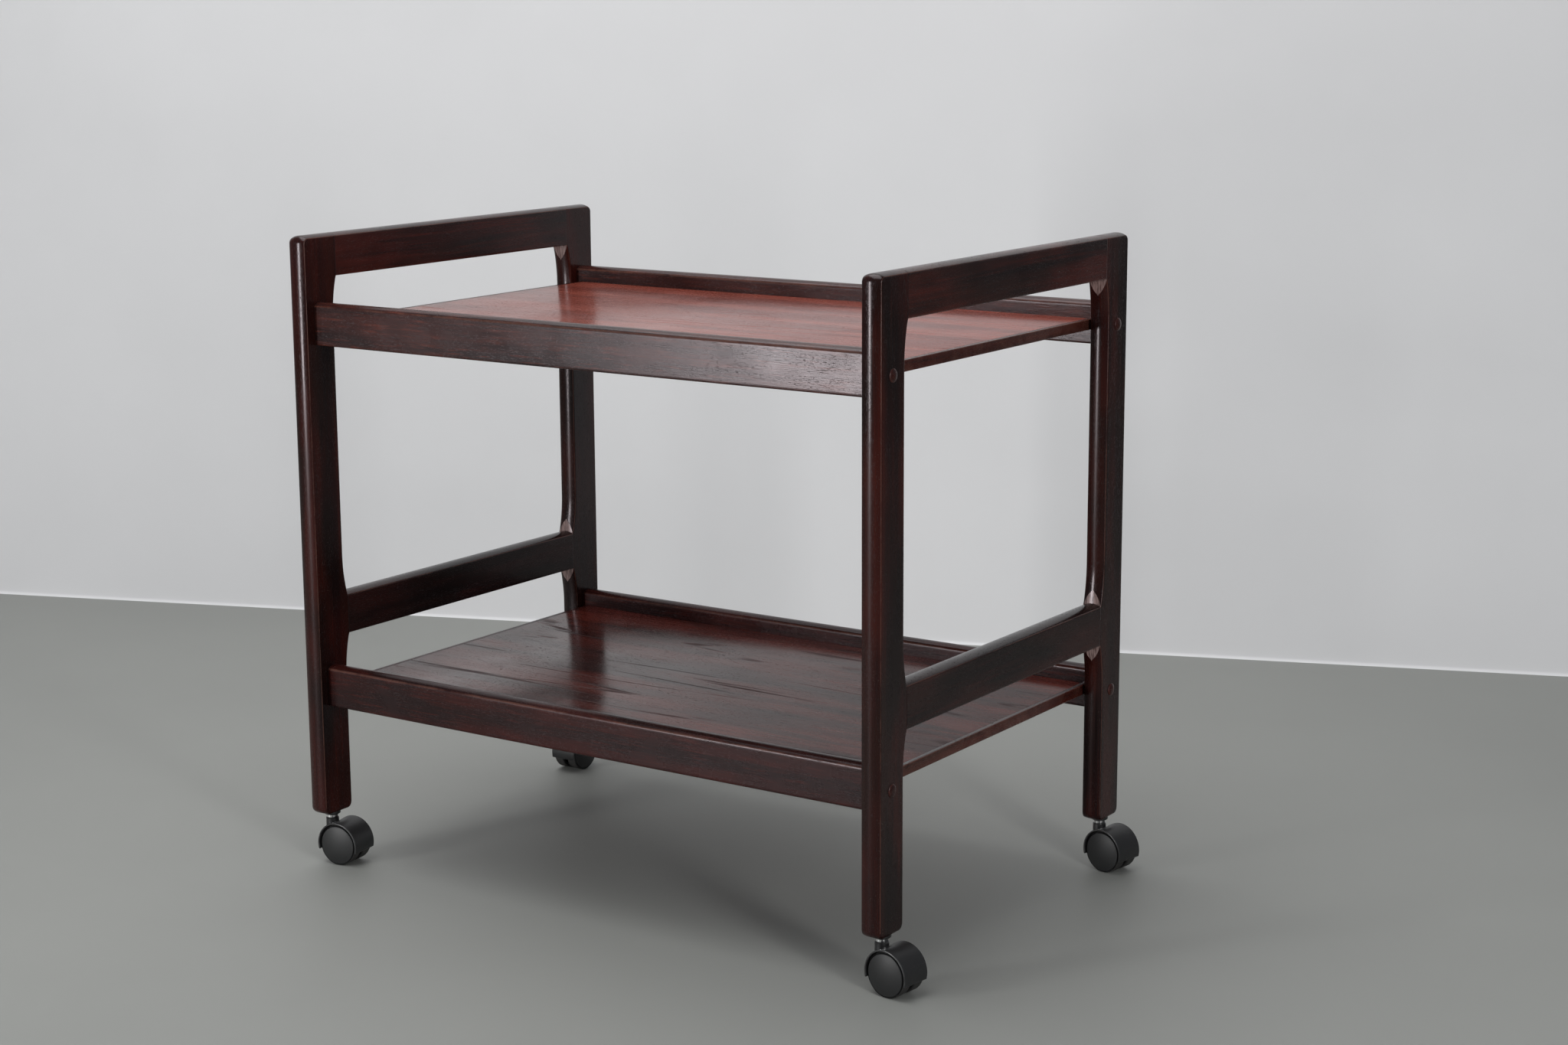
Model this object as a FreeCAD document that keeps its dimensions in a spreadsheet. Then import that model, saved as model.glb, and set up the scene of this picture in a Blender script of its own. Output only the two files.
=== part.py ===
import FreeCAD, Part

# A two-tier wooden serving cart on four swivelling twin-wheel casters, in millimetres, +Z up.
# Two end frames of legs, handle rail and stretcher carry four long rails, and the rails hold
# two shelves in grooves. The origin lies on the floor at the middle of the ground it covers.

import math
import os

import Sketcher

PARTS_FOLDER = "parts"

# Driving sizes. Each is set here once and read from the sheet everywhere else.
SIZES = {
    # Whole cart
    "overall_length": 650.0,
    "overall_depth": 432.0,
    # Legs: flat on both faces, crowned on the edges, wider where a rail meets them
    "leg_length": 558.0,
    "leg_thickness": 19.0,
    "leg_width": 40.0,
    "frame_crown": 2.5,
    "flare_rise": 5.4,
    "flare_length": 40.0,
    "top_corner_radius": 5.0,
    "foot_easing": 1.5,
    # Rails of the end frames, between the legs
    "handle_height": 40.0,
    "stretcher_height": 40.0,
    "stretcher_lift": 173.0,
    "end_rail_easing": 1.2,
    # Long rails, between the end frames
    "rail_height": 40.0,
    "rail_thickness": 16.0,
    "rail_crown": 3.5,
    "rail_setback": 12.0,
    "rail_easing": 1.5,
    "upper_rail_drop": 102.5,
    "lower_rail_lift": 107.0,
    # Shelves, held by a tongue along each side in the grooves of the long rails
    "shelf_thickness": 10.0,
    "tongue_step": 1.0,
    "tongue_step_gap": 0.3,
    "groove_lift": 13.7,
    "groove_depth": 5.0,
    "groove_fit": 0.1,
    "shelf_side_gap": 0.5,
    "shelf_end_gap": 3.0,
    "lipping_thickness": 5.0,
    # Dowels of the end frames, two in each joint
    "dowel_radius": 4.0,
    "dowel_length": 30.0,
    "dowel_spacing": 18.0,
    "dowel_fit": 0.05,
    "dowel_end_slack": 0.5,
    # Screws through the legs into the long rails, under domed wooden plugs
    "screw_lift": 19.0,
    "screw_head_radius": 4.5,
    "screw_head_height": 3.0,
    "screw_shank_radius": 2.0,
    "screw_shank_length": 42.0,
    "screw_tip_length": 4.0,
    "screw_fit": 0.05,
    "screw_end_slack": 0.5,
    "plug_radius": 6.0,
    "plug_depth": 3.0,
    "plug_dome": 2.0,
    "plug_fit": 0.05,
    # Caster sockets, pressed into the feet
    "socket_radius": 5.5,
    "socket_length": 34.0,
    "socket_fit": 0.05,
    "flange_radius": 8.0,
    "flange_thickness": 3.5,
    # Caster stems
    "stem_radius": 4.0,
    "stem_length": 30.0,
    "stem_fit": 0.05,
    "stem_end_slack": 1.0,
    "swivel_gap": 0.4,
    "collar_radius": 5.6,
    "collar_height": 3.2,
    "spigot_radius": 3.0,
    "spigot_length": 5.5,
    # Caster hoods
    "caster_trail": 15.0,
    "axle_drop": 30.5,
    "hood_radius": 22.4,
    "hood_wall": 1.8,
    "hood_width": 30.4,
    "hood_edge_radius": 0.9,
    "hood_wrap_angle": 16.0,
    "web_thickness": 5.0,
    "neck_radius": 6.2,
    "neck_height": 15.0,
    # Wheels and axles
    "wheel_radius": 20.0,
    "wheel_width": 11.4,
    "wheel_rim": 3.0,
    "wheel_face": 2.2,
    "wheel_dome": 2.0,
    "wheel_easing": 1.0,
    "wheel_side_gap": 0.4,
    "hub_radius": 5.0,
    "axle_radius": 2.5,
    "axle_fit": 0.05,
    "axle_end_gap": 0.3,
    # Headings of the trailing casters as they stand, anticlockwise from +X seen from above
    "heading_right_front": -7.5,
    "heading_right_rear": -11.5,
    "heading_left_front": 7.0,
    "heading_left_rear": -89.0,
}


class Size:
    """A length or an angle: its value, and the sheet expression that gives it."""

    def __init__(self, value, text):
        self.value = value
        self.text = text

    def combined(self, other, sign):
        other = as_size(other)
        value = {
            "+": lambda: self.value + other.value,
            "-": lambda: self.value - other.value,
            "*": lambda: self.value * other.value,
            "/": lambda: self.value / other.value,
        }[sign]()
        return Size(value, f"({self.text} {sign} {other.text})")

    def __add__(self, other):
        return self.combined(other, "+")

    def __sub__(self, other):
        return self.combined(other, "-")

    def __mul__(self, other):
        return self.combined(other, "*")

    def __truediv__(self, other):
        return self.combined(other, "/")

    def __neg__(self):
        return Size(-self.value, f"(0 - {self.text})")


def as_size(number):
    return number if isinstance(number, Size) else Size(number, repr(number))


def size_of(name):
    return Size(SIZES[name], f"<<sizes>>.{name}")


def cosine(angle):
    return Size(math.cos(math.radians(angle.value)), f"cos({angle.text} * 1 deg)")


def sine(angle):
    return Size(math.sin(math.radians(angle.value)), f"sin({angle.text} * 1 deg)")


def crown_radius(chord, rise):
    """Radius of the arc that stands rise above a chord."""
    return (chord * chord / 4 + rise * rise) / (rise * 2)


def flare_radius(length, rise):
    """Radius of the arc that starts along a line and leaves it by rise over length."""
    return (length * length + rise * rise) / (rise * 2)


ZERO = Size(0.0, "0")

doc = FreeCAD.newDocument("serving_cart")
sheet = doc.addObject("Spreadsheet::Sheet", "sizes")
sheet.Label = "sizes"
for row, (alias, number) in enumerate(SIZES.items(), start=1):
    sheet.set(f"A{row}", alias)
    sheet.set(f"B{row}", str(number))
    sheet.setAlias(f"B{row}", alias)
doc.recompute()


# Sketches and features

def new_body(label):
    body = doc.addObject("PartDesign::Body", label)
    body.Label = label
    return body


def new_sketch(body, name, role, offset=ZERO):
    """A sketch on one of the body's own planes, moved along that plane's normal."""
    sketch = body.newObject("Sketcher::SketchObject", f"{body.Name}_{name}")
    plane = next(item for item in body.Origin.OriginFeatures if item.Role == role)
    sketch.AttachmentSupport = [(plane, "")]
    sketch.MapMode = "FlatFace"
    sketch.setExpression("AttachmentOffset.Base.z", offset.text)
    return sketch


def bind(sketch, kind, arguments, size):
    """Add a constraint whose value follows a size."""
    index = sketch.addConstraint(Sketcher.Constraint(kind, *arguments, size.value))
    name = f"size_{index}"
    sketch.renameConstraint(index, name)
    sketch.setExpression(f"Constraints.{name}", size.text)


def arc_middle(start, end, radius, side):
    """Middle of the shorter arc, bulging right (+1) or left (-1) of the way from start to end."""
    along = end - start
    half = along.Length / 2
    rise = radius - math.sqrt(radius * radius - half * half)
    right = FreeCAD.Vector(along.y, -along.x, 0).normalize()
    return (start + end) / 2 + right * rise * side


def draw(sketch, corners, arcs=None, closed=True):
    """Join corners by lines, or by arcs given as {edge: (radius, side)}, all tied to sizes."""
    arcs = arcs or {}
    points = [FreeCAD.Vector(u.value, v.value, 0) for u, v in corners]
    count = len(points)
    edges = count if closed else count - 1
    ends = []
    for edge in range(edges):
        start, end = points[edge], points[(edge + 1) % count]
        if edge in arcs:
            radius, side = arcs[edge]
            middle = arc_middle(start, end, radius.value, side)
            index = sketch.addGeometry(Part.Arc(start, middle, end))
            turns_left = side > 0
            ends.append((index, 1, 2) if turns_left else (index, 2, 1))
        else:
            index = sketch.addGeometry(Part.LineSegment(start, end))
            ends.append((index, 1, 2))
    for edge in range(edges):
        index, first, last = ends[edge]
        u, v = corners[edge]
        bind(sketch, "DistanceX", (index, first), u)
        bind(sketch, "DistanceY", (index, first), v)
        if edge in arcs:
            bind(sketch, "Radius", (index,), arcs[edge][0])
        if edge + 1 < edges or closed:
            following = ends[(edge + 1) % edges]
            joined = Sketcher.Constraint("Coincident", index, last, following[0], following[1])
            sketch.addConstraint(joined)
        else:
            u, v = corners[edge + 1]
            bind(sketch, "DistanceX", (index, last), u)
            bind(sketch, "DistanceY", (index, last), v)


def draw_circles(sketch, centres, radius):
    for u, v in centres:
        centre = FreeCAD.Vector(u.value, v.value, 0)
        index = sketch.addGeometry(Part.Circle(centre, FreeCAD.Vector(0, 0, 1), radius.value))
        bind(sketch, "DistanceX", (index, 3), u)
        bind(sketch, "DistanceY", (index, 3), v)
        bind(sketch, "Radius", (index,), radius)


def rectangle(low, high):
    """Corners of a rectangle, anticlockwise from its low corner."""
    return [low, (high[0], low[1]), high, (low[0], high[1])]


def feature(body, kind, name, sketch):
    item = body.newObject(f"PartDesign::{kind}", f"{body.Name}_{name}")
    item.Profile = (sketch, [""])
    sketch.Visibility = False
    return item


def pad(body, name, sketch, length, symmetric=True, backwards=False):
    item = feature(body, "Pad", name, sketch)
    item.setExpression("Length", length.text)
    item.SideType = "Symmetric" if symmetric else "One side"
    item.Reversed = backwards
    return item


def pocket(body, name, sketch, depth, symmetric=False, along_normal=False):
    """Cut a sketch against its plane's normal, along it, or both ways alike."""
    item = feature(body, "Pocket", name, sketch)
    item.setExpression("Length", depth.text)
    item.SideType = "Symmetric" if symmetric else "One side"
    item.Reversed = along_normal
    return item


def revolve(body, name, sketch, axis):
    item = feature(body, "Revolution", name, sketch)
    item.ReferenceAxis = (sketch, [axis])
    item.Angle = 360
    return item


def sweep(body, name, profile, spine, mode):
    item = feature(body, "AdditivePipe", name, profile)
    item.Spine = (spine, [])
    item.Mode = mode
    spine.Visibility = False
    return item


def dress_edges(body, kind, name, chosen, size):
    """Round (Fillet) or bevel (Chamfer) the edges of the last feature that the test picks."""
    doc.recompute()
    base = body.Tip
    names = [f"Edge{i}" for i, edge in enumerate(base.Shape.Edges, start=1) if chosen(edge)]
    item = body.newObject(f"PartDesign::{kind}", f"{body.Name}_{name}")
    item.Base = (base, names)
    item.setExpression("Radius" if kind == "Fillet" else "Size", size.text)
    return item


def place(item, x, y, z, turn=ZERO, axis=FreeCAD.Vector(0, 0, 1)):
    """Put an object at x, y, z, turned in degrees about an axis through its own origin."""
    item.Placement = FreeCAD.Placement(
        FreeCAD.Vector(x.value, y.value, z.value), FreeCAD.Rotation(axis, turn.value)
    )
    for key, size in (("x", x), ("y", y), ("z", z)):
        item.setExpression(f"Placement.Base.{key}", size.text)
    if turn is not ZERO:
        item.setExpression("Placement.Rotation.Angle", f"{turn.text} * 1 deg")


def group(label, members):
    """One object that holds several separate solids."""
    item = doc.addObject("Part::Compound", label)
    item.Label = label
    item.Links = members
    return item


def copy_of(master, name):
    link = doc.addObject("App::Link", name)
    link.LinkedObject = master
    link.LinkTransform = False
    return link


# Sizes that several sub-parts share

length = size_of("overall_length")
depth = size_of("overall_depth")
leg_length = size_of("leg_length")
thickness = size_of("leg_thickness")
crown = size_of("frame_crown")
half_thickness = thickness / 2

caster_height = size_of("axle_drop") + size_of("wheel_radius")
cart_middle = -(size_of("caster_trail") + size_of("hood_radius") - half_thickness) / 2
frame_offset = length / 2 - half_thickness
frame_gap = length - thickness * 2

outer_arris = crown
inner_arris = size_of("leg_width") - crown
joint_plane = inner_arris + size_of("flare_rise")
foot_centre = size_of("leg_width") / 2
stretcher_bottom = size_of("stretcher_lift")
stretcher_arris = stretcher_bottom + size_of("stretcher_height") - crown
handle_bottom = leg_length - size_of("handle_height")
end_rail_length = depth - joint_plane * 2

rail_middle = size_of("rail_setback") + size_of("rail_thickness") / 2
rail_lifts = {"upper": leg_length - size_of("upper_rail_drop"), "lower": size_of("lower_rail_lift")}
screw_heights = [lift + size_of("screw_lift") for lift in rail_lifts.values()]
counterbore = size_of("plug_depth") + size_of("screw_head_height")
leg_web = thickness - counterbore
screw_in_rail = size_of("screw_shank_length") - leg_web

half_spacing = size_of("dowel_spacing") / 2
dowel_reach = size_of("dowel_length") / 2
dowel_bore = dowel_reach + size_of("dowel_end_slack")
dowel_hole_radius = size_of("dowel_radius") + size_of("dowel_fit")
handle_middle = size_of("handle_height") / 2
stretcher_middle = size_of("stretcher_height") / 2
joint_heights = [
    middle + step
    for middle in (stretcher_bottom + stretcher_middle, handle_bottom + handle_middle)
    for step in (-half_spacing, half_spacing)
]

SIDES = {"left": -1, "right": 1}
ENDS = {"front": -1, "rear": 1}


# Legs: y runs from the outer crest of the leg towards the rails, z up from the foot

def crown_profile(body, name, plane_height, arris, outward):
    """The slice between a crowned edge and the chord across its two arrises."""
    sketch = new_sketch(body, name, "XY_Plane", plane_height)
    radius = crown_radius(thickness, crown)
    left, right = (-half_thickness, arris), (half_thickness, arris)
    corners = [left, right] if outward < 0 else [right, left]
    draw(sketch, corners, {0: (radius, 1)})
    return sketch


def crown_run(body, name, start, finish, upwards):
    """Inner crown from a height on the straight edge to the rail joint, along the flare."""
    flare = size_of("flare_length")
    curve = flare_radius(flare, size_of("flare_rise"))
    leaving = finish - flare if upwards > 0 else finish + flare
    path = new_sketch(body, f"{name}_path", "YZ_Plane")
    corners = [(inner_arris, start), (inner_arris, leaving), (joint_plane, finish)]
    draw(path, corners, {1: (curve, -upwards)}, closed=False)
    profile = crown_profile(body, f"{name}_profile", start, inner_arris, 1)
    sweep(body, name, profile, path, "Standard")


def make_leg(label, outer_face):
    """A leg whose outer face looks along +x (1) or -x (-1) of its own frame."""
    body = new_body(label)
    corner = size_of("top_corner_radius")
    flare = size_of("flare_length")
    curve = flare_radius(flare, size_of("flare_rise"))
    top = leg_length - crown

    core = new_sketch(body, "core_outline", "YZ_Plane")
    draw(
        core,
        [
            (outer_arris, ZERO),
            (inner_arris, ZERO),
            (inner_arris, stretcher_bottom - flare),
            (joint_plane, stretcher_bottom),
            (joint_plane, stretcher_arris),
            (inner_arris, stretcher_arris + flare),
            (inner_arris, handle_bottom - flare),
            (joint_plane, handle_bottom),
            (joint_plane, top),
            (outer_arris + corner, top),
            (outer_arris, top - corner),
        ],
        {2: (curve, -1), 4: (curve, -1), 6: (curve, -1), 9: (corner, 1)},
    )
    pad(body, "core", core, thickness)

    outer_path = new_sketch(body, "outer_path", "YZ_Plane")
    draw(
        outer_path,
        [
            (outer_arris, ZERO),
            (outer_arris, top - corner),
            (outer_arris + corner, top),
            (joint_plane, top),
        ],
        {1: (corner, -1)},
        closed=False,
    )
    outer_crown = crown_profile(body, "outer_crown", ZERO, outer_arris, -1)
    sweep(body, "outer_edge", outer_crown, outer_path, "Standard")

    # Each run of inner crown starts on the straight part and ends where the flare meets a rail
    bay_middle = (stretcher_arris + handle_bottom) / 2
    crown_run(body, "foot_run", ZERO, stretcher_bottom, 1)
    crown_run(body, "bay_low_run", bay_middle, stretcher_arris, -1)
    crown_run(body, "bay_high_run", bay_middle, handle_bottom, 1)

    # The crown runs out on the flat seat of each rail, which leaves a pointed facet beside it
    seat = new_sketch(body, "seat_outline", "YZ_Plane")
    draw(seat, rectangle((joint_plane, ZERO), (joint_plane + crown * 2, leg_length)))
    pocket(body, "seat", seat, thickness * 2, symmetric=True)

    dowel_holes = new_sketch(body, "dowel_circles", "XZ_Plane", -joint_plane)
    draw_circles(dowel_holes, [(ZERO, height) for height in joint_heights], dowel_hole_radius)
    pocket(body, "dowel_holes", dowel_holes, dowel_bore, along_normal=True)

    screw_centres = [(rail_middle, height) for height in screw_heights]
    through = new_sketch(body, "screw_circles", "YZ_Plane")
    draw_circles(through, screw_centres, size_of("screw_shank_radius") + size_of("screw_fit"))
    pocket(body, "screw_holes", through, thickness * 2, symmetric=True)

    outside = half_thickness if outer_face > 0 else -half_thickness
    seats = new_sketch(body, "plug_circles", "YZ_Plane", outside)
    draw_circles(seats, screw_centres, size_of("plug_radius"))
    pocket(body, "plug_seats", seats, counterbore, along_normal=outer_face < 0)

    socket = new_sketch(body, "socket_circle", "XY_Plane")
    draw_circles(socket, [(ZERO, foot_centre)], size_of("socket_radius") + size_of("socket_fit"))
    socket_bore = size_of("socket_length") + size_of("stem_end_slack")
    pocket(body, "socket_bore", socket, socket_bore, along_normal=True)

    def on_foot_rim(edge):
        box = edge.BoundBox
        flat = box.ZMax < crown.value / 2
        return flat and (box.YMin < outer_arris.value or box.YLength > foot_centre.value or
                         box.YMax > inner_arris.value)

    dress_edges(body, "Chamfer", "foot_rim", on_foot_rim, size_of("foot_easing"))
    return body


def foot_place(side, end):
    """Where the crest line of a leg's outer edge meets its foot."""
    return cart_middle + frame_offset * SIDES[side], depth / 2 * ENDS[end], caster_height


for side in SIDES:
    for end in ENDS:
        leg = make_leg(f"leg_{side}_{end}", -SIDES[side] * ENDS[end])
        turn = ZERO if end == "front" else Size(180.0, "180")
        place(leg, *foot_place(side, end), turn)


# Rails of the end frames: y runs along the rail, z up from its underside

def make_end_rail(label, height):
    body = new_body(label)
    section = new_sketch(body, "section", "XZ_Plane")
    arris = height - crown
    corners = rectangle((-half_thickness, ZERO), (half_thickness, arris))
    draw(section, corners, {2: (crown_radius(thickness, crown), 1)})
    pad(body, "bar", section, end_rail_length)

    middle = height / 2
    centres = [(ZERO, middle - half_spacing), (ZERO, middle + half_spacing)]
    for name, sign in (("front", 1), ("rear", -1)):
        holes = new_sketch(body, f"{name}_dowel_circles", "XZ_Plane", end_rail_length / 2 * sign)
        draw_circles(holes, centres, dowel_hole_radius)
        pocket(body, f"{name}_dowel_holes", holes, dowel_bore, along_normal=sign < 0)

    def under(edge):
        box = edge.BoundBox
        return box.ZMax < crown.value / 2 and box.YLength > end_rail_length.value / 2

    dress_edges(body, "Fillet", "underside", under, size_of("end_rail_easing"))
    return body


for side in SIDES:
    frame_x = cart_middle + frame_offset * SIDES[side]
    handle = make_end_rail(f"handle_rail_{side}", size_of("handle_height"))
    place(handle, frame_x, ZERO, caster_height + handle_bottom)
    stretcher = make_end_rail(f"stretcher_{side}", size_of("stretcher_height"))
    place(stretcher, frame_x, ZERO, caster_height + stretcher_bottom)


# Long rails: x runs along the rail, y from its outer face inwards, z up from its underside

def make_long_rail(label):
    body = new_body(label)
    across = size_of("rail_thickness")
    arris = size_of("rail_height") - size_of("rail_crown")
    groove_floor = across - size_of("groove_depth")
    groove_low = size_of("groove_lift")
    tongue = size_of("shelf_thickness") - size_of("tongue_step")
    groove_high = groove_low + tongue + size_of("groove_fit")
    section = new_sketch(body, "section", "YZ_Plane")
    draw(
        section,
        [
            (ZERO, ZERO),
            (across, ZERO),
            (across, groove_low),
            (groove_floor, groove_low),
            (groove_floor, groove_high),
            (across, groove_high),
            (across, arris),
            (ZERO, arris),
        ],
        {6: (crown_radius(across, size_of("rail_crown")), 1)},
    )
    pad(body, "bar", section, frame_gap)

    pilot = size_of("screw_shank_radius") + size_of("screw_fit")
    bore = screw_in_rail + size_of("screw_end_slack")
    for name, sign in (("right", 1), ("left", -1)):
        hole = new_sketch(body, f"{name}_screw_circle", "YZ_Plane", frame_gap / 2 * sign)
        draw_circles(hole, [(across / 2, size_of("screw_lift"))], pilot)
        pocket(body, f"{name}_screw_hole", hole, bore, along_normal=sign < 0)

    def under(edge):
        box = edge.BoundBox
        return box.ZMax < groove_low.value / 2 and box.XLength > frame_gap.value / 2

    dress_edges(body, "Fillet", "underside", under, size_of("rail_easing"))
    return body


for tier, lift in rail_lifts.items():
    rail_height = caster_height + lift
    for end in ENDS:
        rail = make_long_rail(f"long_rail_{tier}_{end}")
        rail_y = (depth / 2 - size_of("rail_setback")) * ENDS[end]
        turn = ZERO if end == "front" else Size(180.0, "180")
        place(rail, cart_middle, rail_y, rail_height, turn)


# Shelves: a veneered panel with a solid lipping along each end, x running along the panel

shelf_length = frame_gap - size_of("shelf_end_gap") * 2
shelf_reach = depth / 2 - size_of("rail_setback") - size_of("rail_thickness")
lipping = size_of("lipping_thickness")
panel_length = shelf_length - lipping * 2


def make_board(label, along, x, z):
    """A length of shelf, stepped down along both sides to the tongues that run in the grooves."""
    body = new_body(label)
    top = size_of("shelf_thickness")
    step = top - size_of("tongue_step")
    face = shelf_reach - size_of("tongue_step_gap")
    tongue = shelf_reach + size_of("groove_depth") - size_of("shelf_side_gap")
    section = new_sketch(body, "section", "YZ_Plane")
    draw(
        section,
        [
            (-tongue, ZERO),
            (tongue, ZERO),
            (tongue, step),
            (face, step),
            (face, top),
            (-face, top),
            (-face, step),
            (-tongue, step),
        ],
    )
    pad(body, "board", section, along)
    place(body, x, ZERO, z)


for tier, lift in rail_lifts.items():
    shelf_z = caster_height + lift + size_of("groove_lift")
    make_board(f"shelf_{tier}", panel_length, cart_middle, shelf_z)
    for side, sign in SIDES.items():
        lipping_x = cart_middle + (panel_length + lipping) / 2 * sign
        make_board(f"shelf_{tier}_lipping_{side}", lipping, lipping_x, shelf_z)


# Dowels of the end frames, along y across each joint

def make_dowels(side):
    dowels = []
    for end in ENDS:
        seat = (depth / 2 - joint_plane) * ENDS[end] + dowel_reach
        for height in joint_heights:
            dowel = doc.addObject("Part::Cylinder", f"dowel_{side}_{end}")
            dowel.setExpression("Radius", size_of("dowel_radius").text)
            dowel.setExpression("Height", size_of("dowel_length").text)
            frame_x = cart_middle + frame_offset * SIDES[side]
            across = FreeCAD.Vector(1, 0, 0)
            place(dowel, frame_x, seat, caster_height + height, Size(90.0, "90"), across)
            dowels.append(dowel)
    return group(f"dowels_{side}", dowels)


# Screws and plugs: both are turned about z, and z points out of the leg

def make_screw():
    body = new_body("screw_pattern")
    head, head_height = size_of("screw_head_radius"), size_of("screw_head_height")
    shank, tip = size_of("screw_shank_radius"), size_of("screw_tip_length")
    shank_end = -size_of("screw_shank_length")
    profile = new_sketch(body, "profile", "XZ_Plane")
    draw(
        profile,
        [
            (ZERO, shank_end),
            (shank, shank_end + tip),
            (shank, ZERO),
            (head, ZERO),
            (head, head_height),
            (ZERO, head_height),
        ],
    )
    revolve(body, "turned", profile, "V_Axis")
    return body


def make_plug():
    body = new_body("plug_pattern")
    radius = size_of("plug_radius") - size_of("plug_fit")
    dome = size_of("plug_dome")
    profile = new_sketch(body, "profile", "XZ_Plane")
    inside = -size_of("plug_depth")
    draw(
        profile,
        [(ZERO, inside), (radius, inside), (radius, ZERO), (ZERO, dome)],
        {2: (flare_radius(radius, dome), 1)},
    )
    revolve(body, "turned", profile, "V_Axis")
    return body


def set_in_legs(master, kind, side, inset):
    """Copies of a fastener at the four rail joints of an end frame, set below its outer face."""
    copies = []
    outer_face = (length / 2 - inset) * SIDES[side] + cart_middle
    for end in ENDS:
        for height in screw_heights:
            item = copy_of(master, f"{kind}_{side}_{end}")
            across = (depth / 2 - rail_middle) * ENDS[end]
            turn = Size(90.0 * SIDES[side], f"{90.0 * SIDES[side]}")
            place(item, outer_face, across, caster_height + height, turn, FreeCAD.Vector(0, 1, 0))
            copies.append(item)
    return group(f"{kind}s_{side}", copies)


screw = make_screw()
plug = make_plug()
for side in SIDES:
    make_dowels(side)
    set_in_legs(screw, "rail_screw", side, counterbore)
    set_in_legs(plug, "screw_plug", side, ZERO)


# Casters: the stem stands on z, the foot is at z = 0, and the caster trails along x

flange_bottom = -size_of("flange_thickness")
collar_top = flange_bottom - size_of("swivel_gap")
neck_top = collar_top - size_of("collar_height")
axle_x = size_of("caster_trail")
axle_z = -size_of("axle_drop")
web_half = size_of("web_thickness") / 2
wheel_start = web_half + size_of("wheel_side_gap")
hub_bore_depth = size_of("wheel_width") - size_of("wheel_face") + size_of("axle_end_gap")


def make_socket(label):
    body = new_body(label)
    bore = size_of("stem_radius") + size_of("stem_fit")
    outer = size_of("socket_radius")
    top = size_of("socket_length")
    profile = new_sketch(body, "profile", "XZ_Plane")
    draw(
        profile,
        [
            (bore, flange_bottom),
            (size_of("flange_radius"), flange_bottom),
            (size_of("flange_radius"), ZERO),
            (outer, ZERO),
            (outer, top),
            (bore, top),
        ],
    )
    revolve(body, "turned", profile, "V_Axis")
    return body


def make_stem(label):
    body = new_body(label)
    pin, collar = size_of("stem_radius"), size_of("collar_radius")
    spigot = size_of("spigot_radius")
    top = flange_bottom + size_of("stem_length")
    profile = new_sketch(body, "profile", "XZ_Plane")
    draw(
        profile,
        [
            (ZERO, neck_top - size_of("spigot_length")),
            (spigot, neck_top - size_of("spigot_length")),
            (spigot, neck_top),
            (collar, neck_top),
            (collar, collar_top),
            (pin, collar_top),
            (pin, top),
            (ZERO, top),
        ],
    )
    revolve(body, "turned", profile, "V_Axis")
    return body


def make_hood(label):
    body = new_body(label)
    radius = size_of("hood_radius")
    wrap = size_of("hood_wrap_angle")
    reach, drop = radius * cosine(wrap), radius * sine(wrap)
    low_right = (axle_x + reach, axle_z - drop)
    low_left = (axle_x - reach, axle_z - drop)
    crest = (axle_x, axle_z + radius)
    outline = new_sketch(body, "outline", "XZ_Plane")
    draw(outline, [low_left, low_right, crest], {1: (radius, 1), 2: (radius, 1)})
    pad(body, "shell", outline, size_of("hood_width"))

    rim_x = axle_x.value
    rim_z = axle_z.value

    def on_rim(edge):
        curve = edge.Curve
        if not isinstance(curve, Part.Circle):
            return False
        return abs(curve.Center.x - rim_x) < crown.value and abs(curve.Center.z - rim_z) < crown.value

    dress_edges(body, "Fillet", "rims", on_rim, size_of("hood_edge_radius"))

    neck = new_sketch(body, "neck_circle", "XY_Plane", neck_top)
    draw_circles(neck, [(ZERO, ZERO)], size_of("neck_radius"))
    pad(body, "neck", neck, size_of("neck_height"), symmetric=False, backwards=True)

    well_depth = size_of("hood_width") / 2 - web_half
    for name, sign in (("front", 1), ("rear", -1)):
        well = new_sketch(body, f"{name}_well_circle", "XZ_Plane", size_of("hood_width") / 2 * sign)
        draw_circles(well, [(axle_x, axle_z)], radius - size_of("hood_wall"))
        pocket(body, f"{name}_well", well, well_depth, along_normal=sign < 0)

    seat = new_sketch(body, "stem_circle", "XY_Plane", neck_top)
    draw_circles(seat, [(ZERO, ZERO)], size_of("spigot_radius"))
    pocket(body, "stem_seat", seat, size_of("spigot_length"))

    bore = new_sketch(body, "axle_circle", "XZ_Plane")
    draw_circles(bore, [(axle_x, axle_z)], size_of("axle_radius"))
    pocket(body, "axle_bore", bore, size_of("web_thickness") * 2, symmetric=True)
    return body


def make_wheel(label):
    """A wheel turned about its own y, open inside, with a domed outer face."""
    body = new_body(label)
    radius, width = size_of("wheel_radius"), size_of("wheel_width")
    easing = size_of("wheel_easing")
    bore = size_of("axle_radius") + size_of("axle_fit")
    face_inside = width - size_of("wheel_face")
    ring_inside = radius - size_of("wheel_rim")
    face_edge = radius - easing
    profile = new_sketch(body, "profile", "XY_Plane")
    draw(
        profile,
        [
            (bore, ZERO),
            (size_of("hub_radius"), ZERO),
            (size_of("hub_radius"), face_inside),
            (ring_inside, face_inside),
            (ring_inside, ZERO),
            (face_edge, ZERO),
            (radius, easing),
            (radius, width - easing),
            (face_edge, width),
            (ZERO, width + size_of("wheel_dome")),
            (ZERO, hub_bore_depth),
            (bore, hub_bore_depth),
        ],
        {8: (flare_radius(face_edge, size_of("wheel_dome")), 1)},
    )
    revolve(body, "turned", profile, "V_Axis")
    return body


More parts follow.
